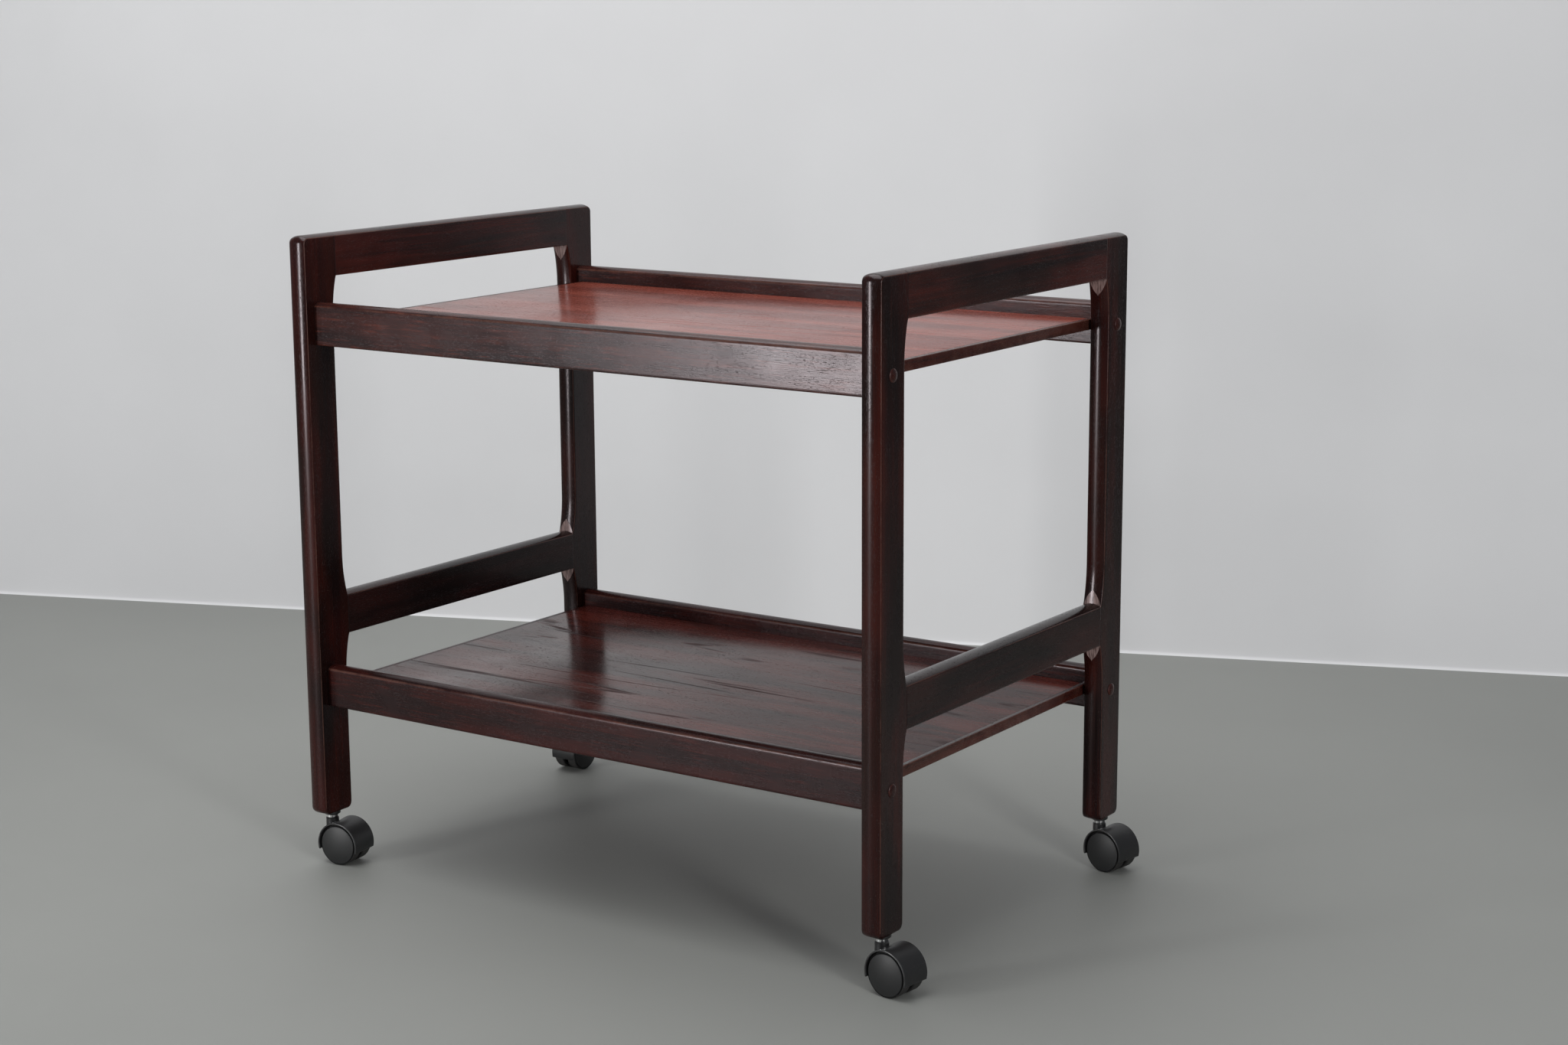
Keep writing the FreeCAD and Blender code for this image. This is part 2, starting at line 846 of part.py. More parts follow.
def make_axle(label):
    axle = doc.addObject("Part::Cylinder", label)
    axle.Label = label
    reach = wheel_start + hub_bore_depth - size_of("axle_end_gap")
    axle.setExpression("Radius", size_of("axle_radius").text)
    axle.setExpression("Height", (reach * 2).text)
    return axle, reach


def place_on_caster(item, foot, heading, x, y, z, extra_turn=0):
    """Put an object at x, y, z of a caster's frame, turned with the caster."""
    c, s = cosine(heading), sine(heading)
    turn = Size(heading.value + extra_turn, f"({heading.text} + {extra_turn})")
    place(item, foot[0] + x * c - y * s, foot[1] + x * s + y * c, foot[2] + z, turn)


def make_caster(side, end):
    name = f"caster_{side}_{end}"
    crest_x, crest_y, foot_z = foot_place(side, end)
    foot = (crest_x, crest_y - foot_centre * ENDS[end], foot_z)
    heading = size_of(f"heading_{side}_{end}")

    place(make_socket(f"{name}_socket"), *foot)
    place_on_caster(make_stem(f"{name}_stem"), foot, heading, ZERO, ZERO, ZERO)
    place_on_caster(make_hood(f"{name}_hood"), foot, heading, ZERO, ZERO, ZERO)

    axle, reach = make_axle(f"{name}_axle")
    lying = FreeCAD.Rotation(FreeCAD.Vector(1, 0, 0), 90)
    start_x = foot[0] + axle_x * cosine(heading) - reach * sine(heading)
    start_y = foot[1] + axle_x * sine(heading) + reach * cosine(heading)
    place(axle, start_x, start_y, foot_z + axle_z)
    turned = FreeCAD.Rotation(FreeCAD.Vector(0, 0, 1), heading.value)
    axle.Placement = FreeCAD.Placement(axle.Placement.Base, turned.multiply(lying))

    front_wheel = make_wheel(f"{name}_wheel_a")
    place_on_caster(front_wheel, foot, heading, axle_x, -wheel_start, axle_z, 180)
    rear_wheel = make_wheel(f"{name}_wheel_b")
    place_on_caster(rear_wheel, foot, heading, axle_x, wheel_start, axle_z)


for side in SIDES:
    for end in ENDS:
        make_caster(side, end)


# Checks and files

NODE_TYPES = ("PartDesign::Body", "Part::Cylinder", "Part::Compound")


def nodes():
    """The sub-parts: everything that stands for itself, without patterns and group members."""
    grouped = {member for item in doc.Objects if item.TypeId == "Part::Compound" for member in item.Links}
    return [
        item
        for item in doc.Objects
        if item.TypeId in NODE_TYPES and item not in grouped and item not in (screw, plug)
    ]


def check_document():
    failed = [item.Name for item in doc.Objects if {"Invalid", "Error"} & set(item.State)]
    if failed:
        raise RuntimeError(f"failed objects: {failed}")
    for item in doc.Objects:
        if item.TypeId != "PartDesign::Pocket":
            continue
        before, after = item.BaseFeature.Shape.Volume, item.Shape.Volume
        if after >= before:
            raise RuntimeError(f"{item.Name} cuts nothing")
    for item in nodes():
        shape = item.Shape
        if shape.isNull() or not shape.isValid() or not shape.Solids:
            raise RuntimeError(f"{item.Label} has a bad shape")


def export_nodes():
    os.makedirs(PARTS_FOLDER, exist_ok=True)
    for item in nodes():
        item.Shape.exportStep(f"{PARTS_FOLDER}/{item.Label}.step")
        print(item.Label, "solids", len(item.Shape.Solids), "volume", round(item.Shape.Volume, 1))


doc.recompute()
check_document()
export_nodes()
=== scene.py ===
"""Dresses a two-tier serving cart: dark lacquered wood, veneered shelves and hooded casters.

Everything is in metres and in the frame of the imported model, whose origin lies on the floor in
the middle of the cart's footprint, with +X along the shelves, +Y from front to rear and +Z up.
"""

import logging
import math
from collections.abc import Callable, Sequence
from dataclasses import dataclass, field, replace
from enum import Enum

import bmesh
import bpy
from mathutils import Matrix, Vector


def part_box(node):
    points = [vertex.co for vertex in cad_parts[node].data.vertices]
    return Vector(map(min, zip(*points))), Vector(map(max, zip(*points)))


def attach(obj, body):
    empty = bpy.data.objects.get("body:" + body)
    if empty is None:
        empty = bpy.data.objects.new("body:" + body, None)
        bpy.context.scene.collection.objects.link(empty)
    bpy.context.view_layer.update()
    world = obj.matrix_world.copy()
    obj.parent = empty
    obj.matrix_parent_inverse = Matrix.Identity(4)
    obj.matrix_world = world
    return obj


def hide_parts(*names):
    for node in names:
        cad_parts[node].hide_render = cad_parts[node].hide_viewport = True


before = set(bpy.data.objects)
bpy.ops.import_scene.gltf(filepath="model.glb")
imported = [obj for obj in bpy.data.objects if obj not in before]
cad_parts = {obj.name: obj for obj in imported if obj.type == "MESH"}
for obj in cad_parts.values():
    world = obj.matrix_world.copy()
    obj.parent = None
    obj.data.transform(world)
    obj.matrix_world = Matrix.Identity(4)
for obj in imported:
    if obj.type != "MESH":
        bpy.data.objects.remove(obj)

log = logging.getLogger("serving_cart")

MERGE_DISTANCE = 2e-6
SHARP_ANGLE = math.radians(42)
# Dark colour of joints and glue lines, which also paints the shade in the ring round each plug.
SEAM_DIRT_AND_SHADE = (0.004, 0.002, 0.002)
WOOD_DUST = (0.3, 0.28, 0.26)
PORE_DARK = (0.006, 0.003, 0.003)
END_GRAIN_DARK = (0.012, 0.004, 0.003)
PLASTIC_DUST = (0.22, 0.21, 0.19)
PLASTIC_GRIME = (0.030, 0.028, 0.026)
LACQUER_TINT = (1.0, 0.91, 0.95)

Pair = tuple[float, float]
Colour = tuple[float, float, float]
Place = Callable[[float, float, float], Vector]


class Named(Enum):
    """A choice whose name, in small letters, is a word of node names."""

    @property
    def word(self) -> str:
        """The word that node names use."""
        return self.name.lower()


class Side(Named):
    """The two end frames, with the sign of their x."""

    LEFT = -1
    RIGHT = 1


class End(Named):
    """The two long sides, with the sign of their y."""

    FRONT = -1
    REAR = 1


class Tier(Named):
    """The two shelves."""

    UPPER = 1
    LOWER = 0


class GrainAxis(Enum):
    """The axis that a piece of wood was cut along, as an order of coordinates."""

    ALONG_X = (0, 1, 2)
    ALONG_Y = (1, 2, 0)
    ALONG_Z = (2, 0, 1)


# Short ways to build shader trees


class Value:
    """A value in a node tree, whose sums and products become Math nodes."""

    def __init__(self, socket: bpy.types.NodeSocket) -> None:
        """Wrap an output socket."""
        self.socket = socket
        self.wire = Wiring(socket.id_data)

    def __add__(self, other: object) -> "Value":
        """Add a number or another value."""
        return self.wire.math("ADD", self, other)

    def __sub__(self, other: object) -> "Value":
        """Subtract a number or another value."""
        return self.wire.math("SUBTRACT", self, other)

    def __mul__(self, other: object) -> "Value":
        """Multiply by a number or another value."""
        return self.wire.math("MULTIPLY", self, other)


@dataclass
class Wiring:
    """Adds and joins nodes in one tree."""

    tree: bpy.types.NodeTree

    def join(self, value: object, socket: bpy.types.NodeSocket) -> None:
        """Set an input socket.

        Args:
            value: A value of the tree, a number, a vector or a colour.
            socket: The socket that gets it.
        """
        if isinstance(value, Value):
            self.tree.links.new(value.socket, socket)
        elif isinstance(value, tuple) and socket.type == "RGBA":
            socket.default_value = (*value, 1.0)
        else:
            socket.default_value = value

    def node(self, kind: str, settings: dict[str, object] | None = None,
             **inputs: object) -> dict[str, Value]:
        """Add a node.

        Args:
            kind: Its type.
            settings: Its properties.
            **inputs: Its inputs, with underscores for the spaces in their names.

        Returns:
            Its outputs by their names.
        """
        made = self.tree.nodes.new(kind)
        for name, item in (settings or {}).items():
            setattr(made, name, item)
        for name, item in inputs.items():
            self.join(item, made.inputs[name.replace("_", " ")])
        return {socket.name: Value(socket) for socket in made.outputs}

    def place(self, group: bpy.types.NodeTree, **inputs: object) -> dict[str, Value]:
        """Place a node group, set its inputs and return its outputs by their names."""
        return self.node("ShaderNodeGroup", {"node_tree": group}, **inputs)

    def work_out(self, kind: str, output: str, operation: str, values: Sequence[object]) -> Value:
        """Add a node that works on its inputs in their order.

        Args:
            kind: The node's type.
            output: The name of its output.
            operation: What it does.
            values: Its inputs.

        Returns:
            The output.
        """
        made = self.tree.nodes.new(kind)
        made.operation = operation
        for value, socket in zip(values, made.inputs):
            self.join(value, socket)
        return Value(made.outputs[output])

    def math(self, operation: str, *values: object) -> Value:
        """Work out a number with a Math node."""
        return self.work_out("ShaderNodeMath", "Value", operation, values)

    def vector(self, operation: str, *values: object) -> Value:
        """Work out a vector with a Vector Math node."""
        return self.work_out("ShaderNodeVectorMath", "Vector", operation, values)

    def noise(self, at: Value, scale: object, detail: float = 3.0, rough: float = 0.55,
              output: str = "Fac") -> Value:
        """Read noise at a point times a scale, which is one number or a number for each axis."""
        moved = self.vector("MULTIPLY", at, (scale,) * 3 if isinstance(scale, float) else scale)
        return self.node("ShaderNodeTexNoise", Vector=moved, Scale=1.0, Detail=detail,
                         Roughness=rough)[output]

    def ramp(self, value: Value, low: float, high: float, to_low: float = 0.0,
             to_high: float = 1.0) -> Value:
        """Turn low..high smoothly into to_low..to_high, and hold it beyond both ends."""
        return self.node("ShaderNodeMapRange", {"interpolation_type": "SMOOTHSTEP"}, Value=value,
                         From_Min=low, From_Max=high, To_Min=to_low, To_Max=to_high)["Result"]

    def mix(self, share: object, first: object, second: object, way: str = "MIX") -> Value:
        """Mix two colours.

        Args:
            share: How much of the second colour there is.
            first: The first colour.
            second: The second colour.
            way: How they are mixed.

        Returns:
            The mixed colour.
        """
        made = self.tree.nodes.new("ShaderNodeMix")
        made.data_type = "RGBA"
        made.blend_type = way
        colours = [socket for socket in made.inputs if socket.type == "RGBA"]
        for value, socket in zip((share, first, second), (made.inputs["Factor"], *colours)):
            self.join(value, socket)
        return Value(next(socket for socket in made.outputs if socket.type == "RGBA"))

    def tint(self, red: Value, green: Value, blue: Value) -> Value:
        """Join three numbers into a colour."""
        return self.node("ShaderNodeCombineColor", Red=red, Green=green, Blue=blue)["Color"]

    def shade(self, colour: object, level: Value) -> Value:
        """Multiply a colour by a number."""
        return self.mix(1.0, colour, self.tint(level, level, level), "MULTIPLY")

    def bump(self, height: Value, strength: float, depth: float) -> Value:
        """Turn a height into a normal."""
        made = self.node("ShaderNodeBump", Strength=strength, Distance=depth, Height=height)
        return made["Normal"]

    def stored(self, name: str, output: str = "Fac") -> Value:
        """Read a value that is stored on the piece's mesh."""
        return self.node("ShaderNodeAttribute", {"attribute_name": name})[output]

    def object_point(self) -> Value:
        """Read the shaded point in the piece's own frame."""
        return self.node("ShaderNodeTexCoord")["Object"]


# Shader effects that several finishes share


@dataclass
class Effect:
    """A shader node group in the making.

    Args:
        name: The group's name.
        inputs: Input names with their defaults: None is a vector and a tuple a colour.
        outputs: Output names: Color is a colour, the rest numbers.
    """

    name: str
    inputs: dict[str, float | Colour | None]
    outputs: tuple[str, ...]

    def __post_init__(self) -> None:
        """Make the group's tree, its sockets and its wiring."""
        tree = bpy.data.node_groups.new(self.name, "ShaderNodeTree")
        for name, default in self.inputs.items():
            kind = {type(None): "Vector", tuple: "Color", float: "Float"}[type(default)]
            made = tree.interface.new_socket(name, in_out="INPUT", socket_type=f"NodeSocket{kind}")
            if default is not None:
                made.default_value = (*default, 1.0) if kind == "Color" else default
        for name in self.outputs:
            kind = "Color" if name == "Color" else "Float"
            tree.interface.new_socket(name, in_out="OUTPUT", socket_type=f"NodeSocket{kind}")
        self.wire = Wiring(tree)
        self.given = self.wire.node("NodeGroupInput")
        self.sink = tree.nodes.new("NodeGroupOutput")

    def finish(self, **results: Value) -> bpy.types.NodeTree:
        """Join the results to the group's outputs and return its tree."""
        for name, value in results.items():
            self.wire.join(value, self.sink.inputs[name])
        return self.wire.tree


def wood_figure() -> bpy.types.NodeTree:
    """Build the figure of straight-grained tropical wood: bands, streaks, ribbon and open pores.

    Returns:
        A group that reads a point whose x runs along the grain and gives the wood's colour, the
        mask of its pores, a fine height, its fibres, and a slow value for the lacquer's roughness.
    """
    effect = Effect("wood_figure", {
        "Point": None, "Dark": (0.02, 0.006, 0.005), "Middle": (0.06, 0.013, 0.008),
        "Bright": (0.13, 0.03, 0.016), "Band Width": 0.016, "Streak Width": 0.0032,
        "Streak Length": 42.0, "Streak Share": 0.5, "Stroke Share": 0.0, "Ribbon Share": 0.25,
        "Pore Share": 0.6, "End Grain": 0.0,
    }, ("Color", "Pores", "Height", "Fibres", "Slow"))
    wire, given = effect.wire, effect.given
    point = given["Point"]

    # The grain wanders a little, so every finer pattern is read at a swayed point
    sway = wire.noise(point, (2.2, 9.0, 9.0), 2.0, 0.5, "Color")
    centred = wire.vector("SUBTRACT", sway, (0.5, 0.5, 0.5))
    swayed = wire.vector("ADD", point, wire.vector("MULTIPLY", centred, (0.0, 0.014, 0.014)))

    def stretched(width: object, length_share: object, detail: float, rough: float) -> Value:
        """Read noise whose cells are width across the grain and length_share longer along it."""
        across = wire.math("DIVIDE", 1.0, width)
        along = wire.math("DIVIDE", across, length_share)
        scale = wire.node("ShaderNodeCombineXYZ", X=along, Y=across, Z=across)["Vector"]
        return wire.noise(swayed, scale, detail, rough)

    bands = stretched(given["Band Width"], 28.0, 3.0, 0.5)
    streaks = stretched(given["Streak Width"], given["Streak Length"], 4.0, 0.62)
    stains = stretched(0.035, 3.5, 2.0, 0.5)
    flames = stretched(0.05, 16.0, 1.2, 0.4)
    flame_patches = stretched(0.04, 5.0, 2.0, 0.5)
    ribbon = stretched(0.011, 3.2, 2.0, 0.5)
    fibres = stretched(0.0007, 30.0, 2.0, 0.6)
    pore_cells = stretched(0.0005, 8.0, 1.0, 0.4)
    pore_patches = stretched(0.006, 12.0, 2.0, 0.5)

    tone = wire.ramp(bands * 0.55 + stains * 0.45, 0.4, 0.6)
    banded = wire.mix(tone, given["Dark"], given["Middle"])
    bright = wire.ramp(streaks, 0.5, 0.72) * given["Streak Share"]
    streaked = wire.mix(bright, banded, given["Bright"])
    thin_dark = wire.ramp(streaks, 0.44, 0.3) * 0.55
    contour = wire.math("PINGPONG", flames * 15.0, 1.0)
    strokes = wire.ramp(contour, 0.2, 0.03) * wire.ramp(flame_patches, 0.46, 0.62)
    strokes = strokes * wire.ramp(streaks, 0.36, 0.5) * given["Stroke Share"]
    lined = wire.mix(wire.math("MAXIMUM", thin_dark, strokes), streaked, given["Dark"])
    shimmer = (ribbon - 0.5) * given["Ribbon Share"] * 2.4 + 1.0
    lit = wire.shade(lined, shimmer * (fibres * 0.28 + 0.86))
    pores = wire.ramp(pore_cells, 0.6, 0.68) * wire.ramp(pore_patches, 0.36, 0.6)
    pores = pores * given["Pore Share"]
    pored = wire.mix(pores, lit, PORE_DARK)
    broken = wire.math("MAXIMUM", pores, strokes)
    return effect.finish(
        Color=wire.mix(given["End Grain"] * 0.55, pored, END_GRAIN_DARK), Pores=broken,
        Height=fibres * 0.25 - broken * 0.6, Fibres=fibres,
        Slow=wire.noise(point, (6.0, 14.0, 14.0), 3.0),
    )


def rubbed_edges() -> bpy.types.NodeTree:
    """Build the thin rubbed line along arrises, broken up by noise.

    Returns:
        A group that turns a piece's own wear values into a mask.
    """
    effect = Effect("rubbed_edges", {"Point": None, "Wear": 0.0, "Amount": 0.6}, ("Mask",))
    wire, given = effect.wire, effect.given
    patchy = wire.noise(given["Point"], 60.0, 4.0, 0.65)
    slow = wire.noise(given["Point"], 9.0, 2.0)
    reach = given["Wear"] * wire.ramp(patchy * 0.55 + slow * 0.45, 0.34, 0.62, 0.25, 1.0)
    return effect.finish(Mask=wire.ramp(reach, 0.15, 0.9) * given["Amount"])


def handling_marks() -> bpy.types.NodeTree:
    """Build faint smears, specks of dust and hairline scratches.

    Returns:
        A group that gives a smear value around zero, a dust mask and a scratch mask.
    """
    effect = Effect("handling_marks", {"Point": None, "Dust Share": 0.3},
                    ("Smears", "Dust", "Scratches"))
    wire, point = effect.wire, effect.given["Point"]
    specks = wire.node("ShaderNodeTexVoronoi", Vector=point, Scale=520.0)["Distance"]
    chosen = wire.ramp(wire.noise(point, 75.0, 2.0), 0.56, 0.66)
    turned = wire.node("ShaderNodeVectorRotate", {"rotation_type": "EULER_XYZ"}, Vector=point,
                       Rotation=(0.4, 0.9, 0.6))["Vector"]
    lines = wire.noise(turned, (14.0, 900.0, 900.0), 1.0, 0.4)
    return effect.finish(
        Smears=wire.noise(point, 16.0, 4.0, 0.6) - 0.5,
        Dust=wire.ramp(specks, 0.16, 0.1) * chosen * effect.given["Dust Share"],
        Scratches=wire.ramp(lines, 0.7, 0.76),
    )


@dataclass(frozen=True)
class Effects:
    """The shared node groups, built once."""

    figure: bpy.types.NodeTree
    edges: bpy.types.NodeTree
    marks: bpy.types.NodeTree


# Finishes


@dataclass(frozen=True)
class Finish:
    """Something that a piece's surface is made of, and its slot, where that isn't its name."""

    name: str
    slot: str = field(default="", kw_only=True)

    def inputs(self, wire: Wiring, effects: Effects) -> dict[str, object]:
        """Work out the inputs of the Principled shader.

        Args:
            wire: The wiring of the material's tree.
            effects: The shared node groups.

        Returns:
            Values, numbers and colours by the names of the inputs.
        """
        raise NotImplementedError

    def material(self, effects: Effects) -> bpy.types.Material:
        """Make the finish's material.

        Args:
            effects: The shared node groups.

        Returns:
            The material.
        """
        material = bpy.data.materials.new(self.name)
        material.use_nodes = True
        wire = Wiring(material.node_tree)
        shader = wire.tree.nodes["Principled BSDF"]
        for name, value in self.inputs(wire, effects).items():
            wire.join(value, shader.inputs[name])
        return material


@dataclass(frozen=True)
class LacqueredWood(Finish):
    """Open-pored wood, stained and lacquered to a satin shine."""

    dark: Colour
    middle: Colour
    bright: Colour
    worn: Colour = (0.17, 0.078, 0.056)
    # Pale colour painted on the flat cut facets: a painted highlight.
    cut: Colour = (0.31, 0.22, 0.205)
    band_width: float = 0.016
    streak_width: float = 0.0032
    streak_length: float = 42.0
    streak_share: float = 0.5
    stroke_share: float = 0.0
    ribbon_share: float = 0.25
    pore_share: float = 0.6
    wear_amount: float = 0.55
    dust_share: float = 0.25
    roughness: float = 0.26
    bump: float = 0.35
    bump_depth: float = 0.00012
    combing: float = 0.0
    patching: float = 0.0
    ior: float = 1.34

    def inputs(self, wire: Wiring, effects: Effects) -> dict[str, object]:
        """Lay wear, grime with painted shade, a painted highlight on the cut facets, and dust over
        the stained figure.

        Args:
            wire: The wiring of the material's tree.
            effects: The shared node groups.

        Returns:
            Values, numbers and colours by the names of the inputs.
        """
        point = wire.stored("grain", "Vector")
        wear, grime_and_shade, end_grain, highlit_facets = map(wire.stored, ("wear", "grime_and_shade", "end_grain", "highlit_facets"))
        figure = wire.place(
            effects.figure, Point=point, Dark=self.dark, Middle=self.middle, Bright=self.bright,
            Band_Width=self.band_width, Streak_Width=self.streak_width,
            Streak_Length=self.streak_length, Streak_Share=self.streak_share,
            Stroke_Share=self.stroke_share, Ribbon_Share=self.ribbon_share,
            Pore_Share=self.pore_share, End_Grain=wire.ramp(end_grain, 0.6, 0.95),
        )
        edges = wire.place(effects.edges, Point=point, Wear=wear, Amount=self.wear_amount)
        marks = wire.place(effects.marks, Point=point, Dust_Share=self.dust_share)

        # Patches where the stain turned out redder or nearly black
        patch = wire.noise(point, (8.0, 26.0, 26.0), 1.5)
        red, brown = (wire.ramp(patch, 0.36, 0.62, *ends) for ends in ((0.5, 1.35), (0.8, 1.1)))
        patched = wire.mix(self.patching, figure["Color"], wire.tint(red, brown, brown), "MULTIPLY")
        # Painted highlight: the flat cut facets are painted pale, broken up by the fibres.
        facet_highlight = highlit_facets * wire.ramp(figure["Fibres"], 0.38, 0.6, 0.25, 0.95)
        rubbed = wire.mix(edges["Mask"], wire.mix(facet_highlight, patched, self.cut), self.worn)
        # Grime darkens joints and glue lines, and paints shade into the ring round each plug.
        seamed_and_shaded = wire.mix(grime_and_shade * 0.8, rubbed, SEAM_DIRT_AND_SHADE)

        rough = marks["Smears"] * 0.22 + self.roughness + figure["Pores"] * 0.42
        waves = wire.noise(point, (60.0, 130.0, 130.0), 2.0)
        relief = figure["Height"] + waves * 0.25 + figure["Fibres"] * self.combing
        return {
            "Base Color": wire.mix(marks["Dust"], seamed_and_shaded, WOOD_DUST),
            "Roughness": rough + marks["Scratches"] * 0.12 + grime_and_shade * 0.3,
            "Normal": wire.bump(relief, self.bump, self.bump_depth),
            "IOR": self.ior,
            "Specular Tint": LACQUER_TINT,
        }


@dataclass(frozen=True)
class PlainWood(Finish):
    """Unfinished wood inside the joints."""

    dark: Colour
    bright: Colour
    roughness: float = 0.62

    def inputs(self, wire: Wiring, effects: Effects) -> dict[str, object]:
        """Read the figure in two tones.

        Args:
            wire: The wiring of the material's tree.
            effects: The shared node groups.

        Returns:
            Values, numbers and colours by the names of the inputs.
        """
        figure = wire.place(effects.figure, Point=wire.object_point(), Dark=self.dark,
                            Middle=self.bright, Bright=self.bright, Pore_Share=0.2)
        return {"Base Color": figure["Color"], "Roughness": figure["Slow"] * 0.12 + self.roughness}


@dataclass(frozen=True)
class MouldedPlastic(Finish):
    """Moulded nylon with a fine spark-eroded texture, scuffs and dust."""

    colour: Colour
    scuffed: Colour
    roughness: float = 0.42
    edge_roughness: float = 0.24
    texture: float = 0.25
    texture_depth: float = 0.00008
    wear_amount: float = 0.6
    dust_share: float = 0.35

    def inputs(self, wire: Wiring, effects: Effects) -> dict[str, object]:
        """Lay scuffs, dust and grime over the mottled plastic.

        Args:
            wire: The wiring of the material's tree.
            effects: The shared node groups.

        Returns:
            Values, numbers and colours by the names of the inputs.
        """
        point = wire.stored("grain", "Vector")
        wear, grime_and_shade = map(wire.stored, ("wear", "grime_and_shade"))
        edges = wire.place(effects.edges, Point=point, Wear=wear, Amount=self.wear_amount)
        marks = wire.place(effects.marks, Point=point, Dust_Share=self.dust_share)
        toned = wire.shade(self.colour, wire.noise(point, 140.0) * 0.4 + 0.8)
        rubbed = wire.mix(edges["Mask"], toned, self.scuffed)
        dusted = wire.mix(marks["Dust"], rubbed, PLASTIC_DUST)
        polished = wire.ramp(wear, 0.3, 0.8, self.roughness, self.edge_roughness)
        return {
            "Base Color": wire.mix(grime_and_shade * 0.7, dusted, PLASTIC_GRIME),
            "Roughness": polished + marks["Smears"] * 0.25 + grime_and_shade * 0.3,
            "Normal": wire.bump(wire.noise(point, 2600.0, 1.0), self.texture, self.texture_depth),
        }


@dataclass(frozen=True)
class PlatedMetal(Finish):
    """Plated steel with faint turning lines."""

    colour: Colour
    roughness: float

    def inputs(self, wire: Wiring, effects: Effects) -> dict[str, object]:
        """Lay turning lines and smears over the metal.

        Args:
            wire: The wiring of the material's tree.
            effects: The shared node groups.

        Returns:
            Values, numbers and colours by the names of the inputs.
        """
        point = wire.object_point()
        lines = wire.noise(point, (60.0, 60.0, 2400.0), 2.0)
        smears = wire.place(effects.marks, Point=point)["Smears"]
        return {
            "Base Color": wire.shade(self.colour, lines * 0.2 + 0.88),
            "Roughness": smears * 0.2 + self.roughness,
            "Metallic": 1.0,
        }


@dataclass(frozen=True)
class StudioPaint(Finish):
    """Plain paint with the faintest mottling, which the camera sees through from its back."""

    colour: Colour
    roughness: float

    def inputs(self, wire: Wiring, effects: Effects) -> dict[str, object]:
        """Mottle the paint.

        Args:
            wire: The wiring of the material's tree.
            effects: The shared node groups.

        Returns:
            Values, numbers and colours by the names of the inputs.
        """
        mottle = wire.noise(wire.object_point(), 1.6, 4.0, 0.6)
        level = wire.ramp(mottle, 0.2, 0.8, 0.965, 1.035)
        return {"Base Color": wire.shade(self.colour, level), "Roughness": self.roughness}

    def material(self, effects: Effects) -> bpy.types.Material:
        """Make the paint's material and clear its back to camera rays.

        Args:
            effects: The shared node groups.

        Returns:
            The material.
        """
        material = super().material(effects)
        nodes = material.node_tree.nodes
        wire = Wiring(material.node_tree)
        seen = wire.node("ShaderNodeLightPath")["Is Camera Ray"]
        back = wire.node("ShaderNodeNewGeometry")["Backfacing"]
        paint = Value(nodes["Principled BSDF"].outputs["BSDF"])
        clear = wire.node("ShaderNodeBsdfTransparent")["BSDF"]
        blend = nodes.new("ShaderNodeMixShader")
        for value, socket in zip((seen * back, paint, clear), blend.inputs):
            wire.join(value, socket)
        wire.join(Value(blend.outputs["Shader"]), nodes["Material Output"].inputs["Surface"])
        return material


FRAME_WOOD = LacqueredWood(
    "frame_wood", dark=(0.0105, 0.0030, 0.0026), middle=(0.027, 0.0056, 0.0037),
    bright=(0.060, 0.0108, 0.0060), streak_share=0.3, wear_amount=0.35, roughness=0.2, bump=0.3,
    patching=0.85, ior=1.37,
)
HANDLE_WOOD = replace(
    FRAME_WOOD, name="handle_wood", slot="frame_wood", dark=(0.010, 0.0042, 0.0038),
    middle=(0.038, 0.0092, 0.0068), bright=(0.100, 0.017, 0.010), roughness=0.22, ior=1.40,
)
STRETCHER_WOOD = replace(
    FRAME_WOOD, name="stretcher_wood", slot="frame_wood", dark=(0.006, 0.0032, 0.0030),
    middle=(0.020, 0.0070, 0.0058), bright=(0.050, 0.012, 0.009), roughness=0.21, patching=0.7,
    ior=1.36,
)
UPPER_RAIL_WOOD = LacqueredWood(
    "rail_wood_upper", slot="rail_wood", dark=(0.014, 0.0058, 0.0054),
    middle=(0.040, 0.0120, 0.0095), bright=(0.14, 0.030, 0.017), streak_width=0.0022,
    streak_length=16.0, pore_share=0.45, ribbon_share=0.35, wear_amount=0.35, roughness=0.25,
    bump=0.5, combing=0.9, ior=1.43,
)
LOWER_RAIL_WOOD = replace(
    UPPER_RAIL_WOOD, name="rail_wood_lower", dark=(0.012, 0.0036, 0.0032),
    middle=(0.031, 0.0056, 0.0042), bright=(0.08, 0.014, 0.009), streak_share=0.42,
    pore_share=0.35, ribbon_share=0.3, roughness=0.26, bump=0.45, combing=0.8, ior=1.37,
)
UPPER_VENEER = LacqueredWood(
    "shelf_veneer_upper", slot="shelf_veneer", dark=(0.16, 0.034, 0.023),
    middle=(0.275, 0.062, 0.040), bright=(0.37, 0.094, 0.058), streak_share=0.4,
    band_width=0.024, streak_width=0.0028, ribbon_share=0.14, stroke_share=0.35, roughness=0.22,
    bump=0.3, ior=1.42,
)
LOWER_VENEER = replace(
    UPPER_VENEER, name="shelf_veneer_lower", dark=(0.034, 0.0085, 0.0072),
    middle=(0.130, 0.0250, 0.0175), bright=(0.19, 0.042, 0.027), streak_share=0.45,
    band_width=0.03, streak_width=0.0046, ribbon_share=0.16, pore_share=0.65, stroke_share=0.85,
    roughness=0.2, ior=1.31,
)
LIPPING_WOOD = LacqueredWood(
    "lipping_wood", dark=(0.018, 0.0052, 0.0042), middle=(0.055, 0.0105, 0.0070),
    bright=(0.11, 0.019, 0.011), streak_share=0.35, ior=1.36,
)
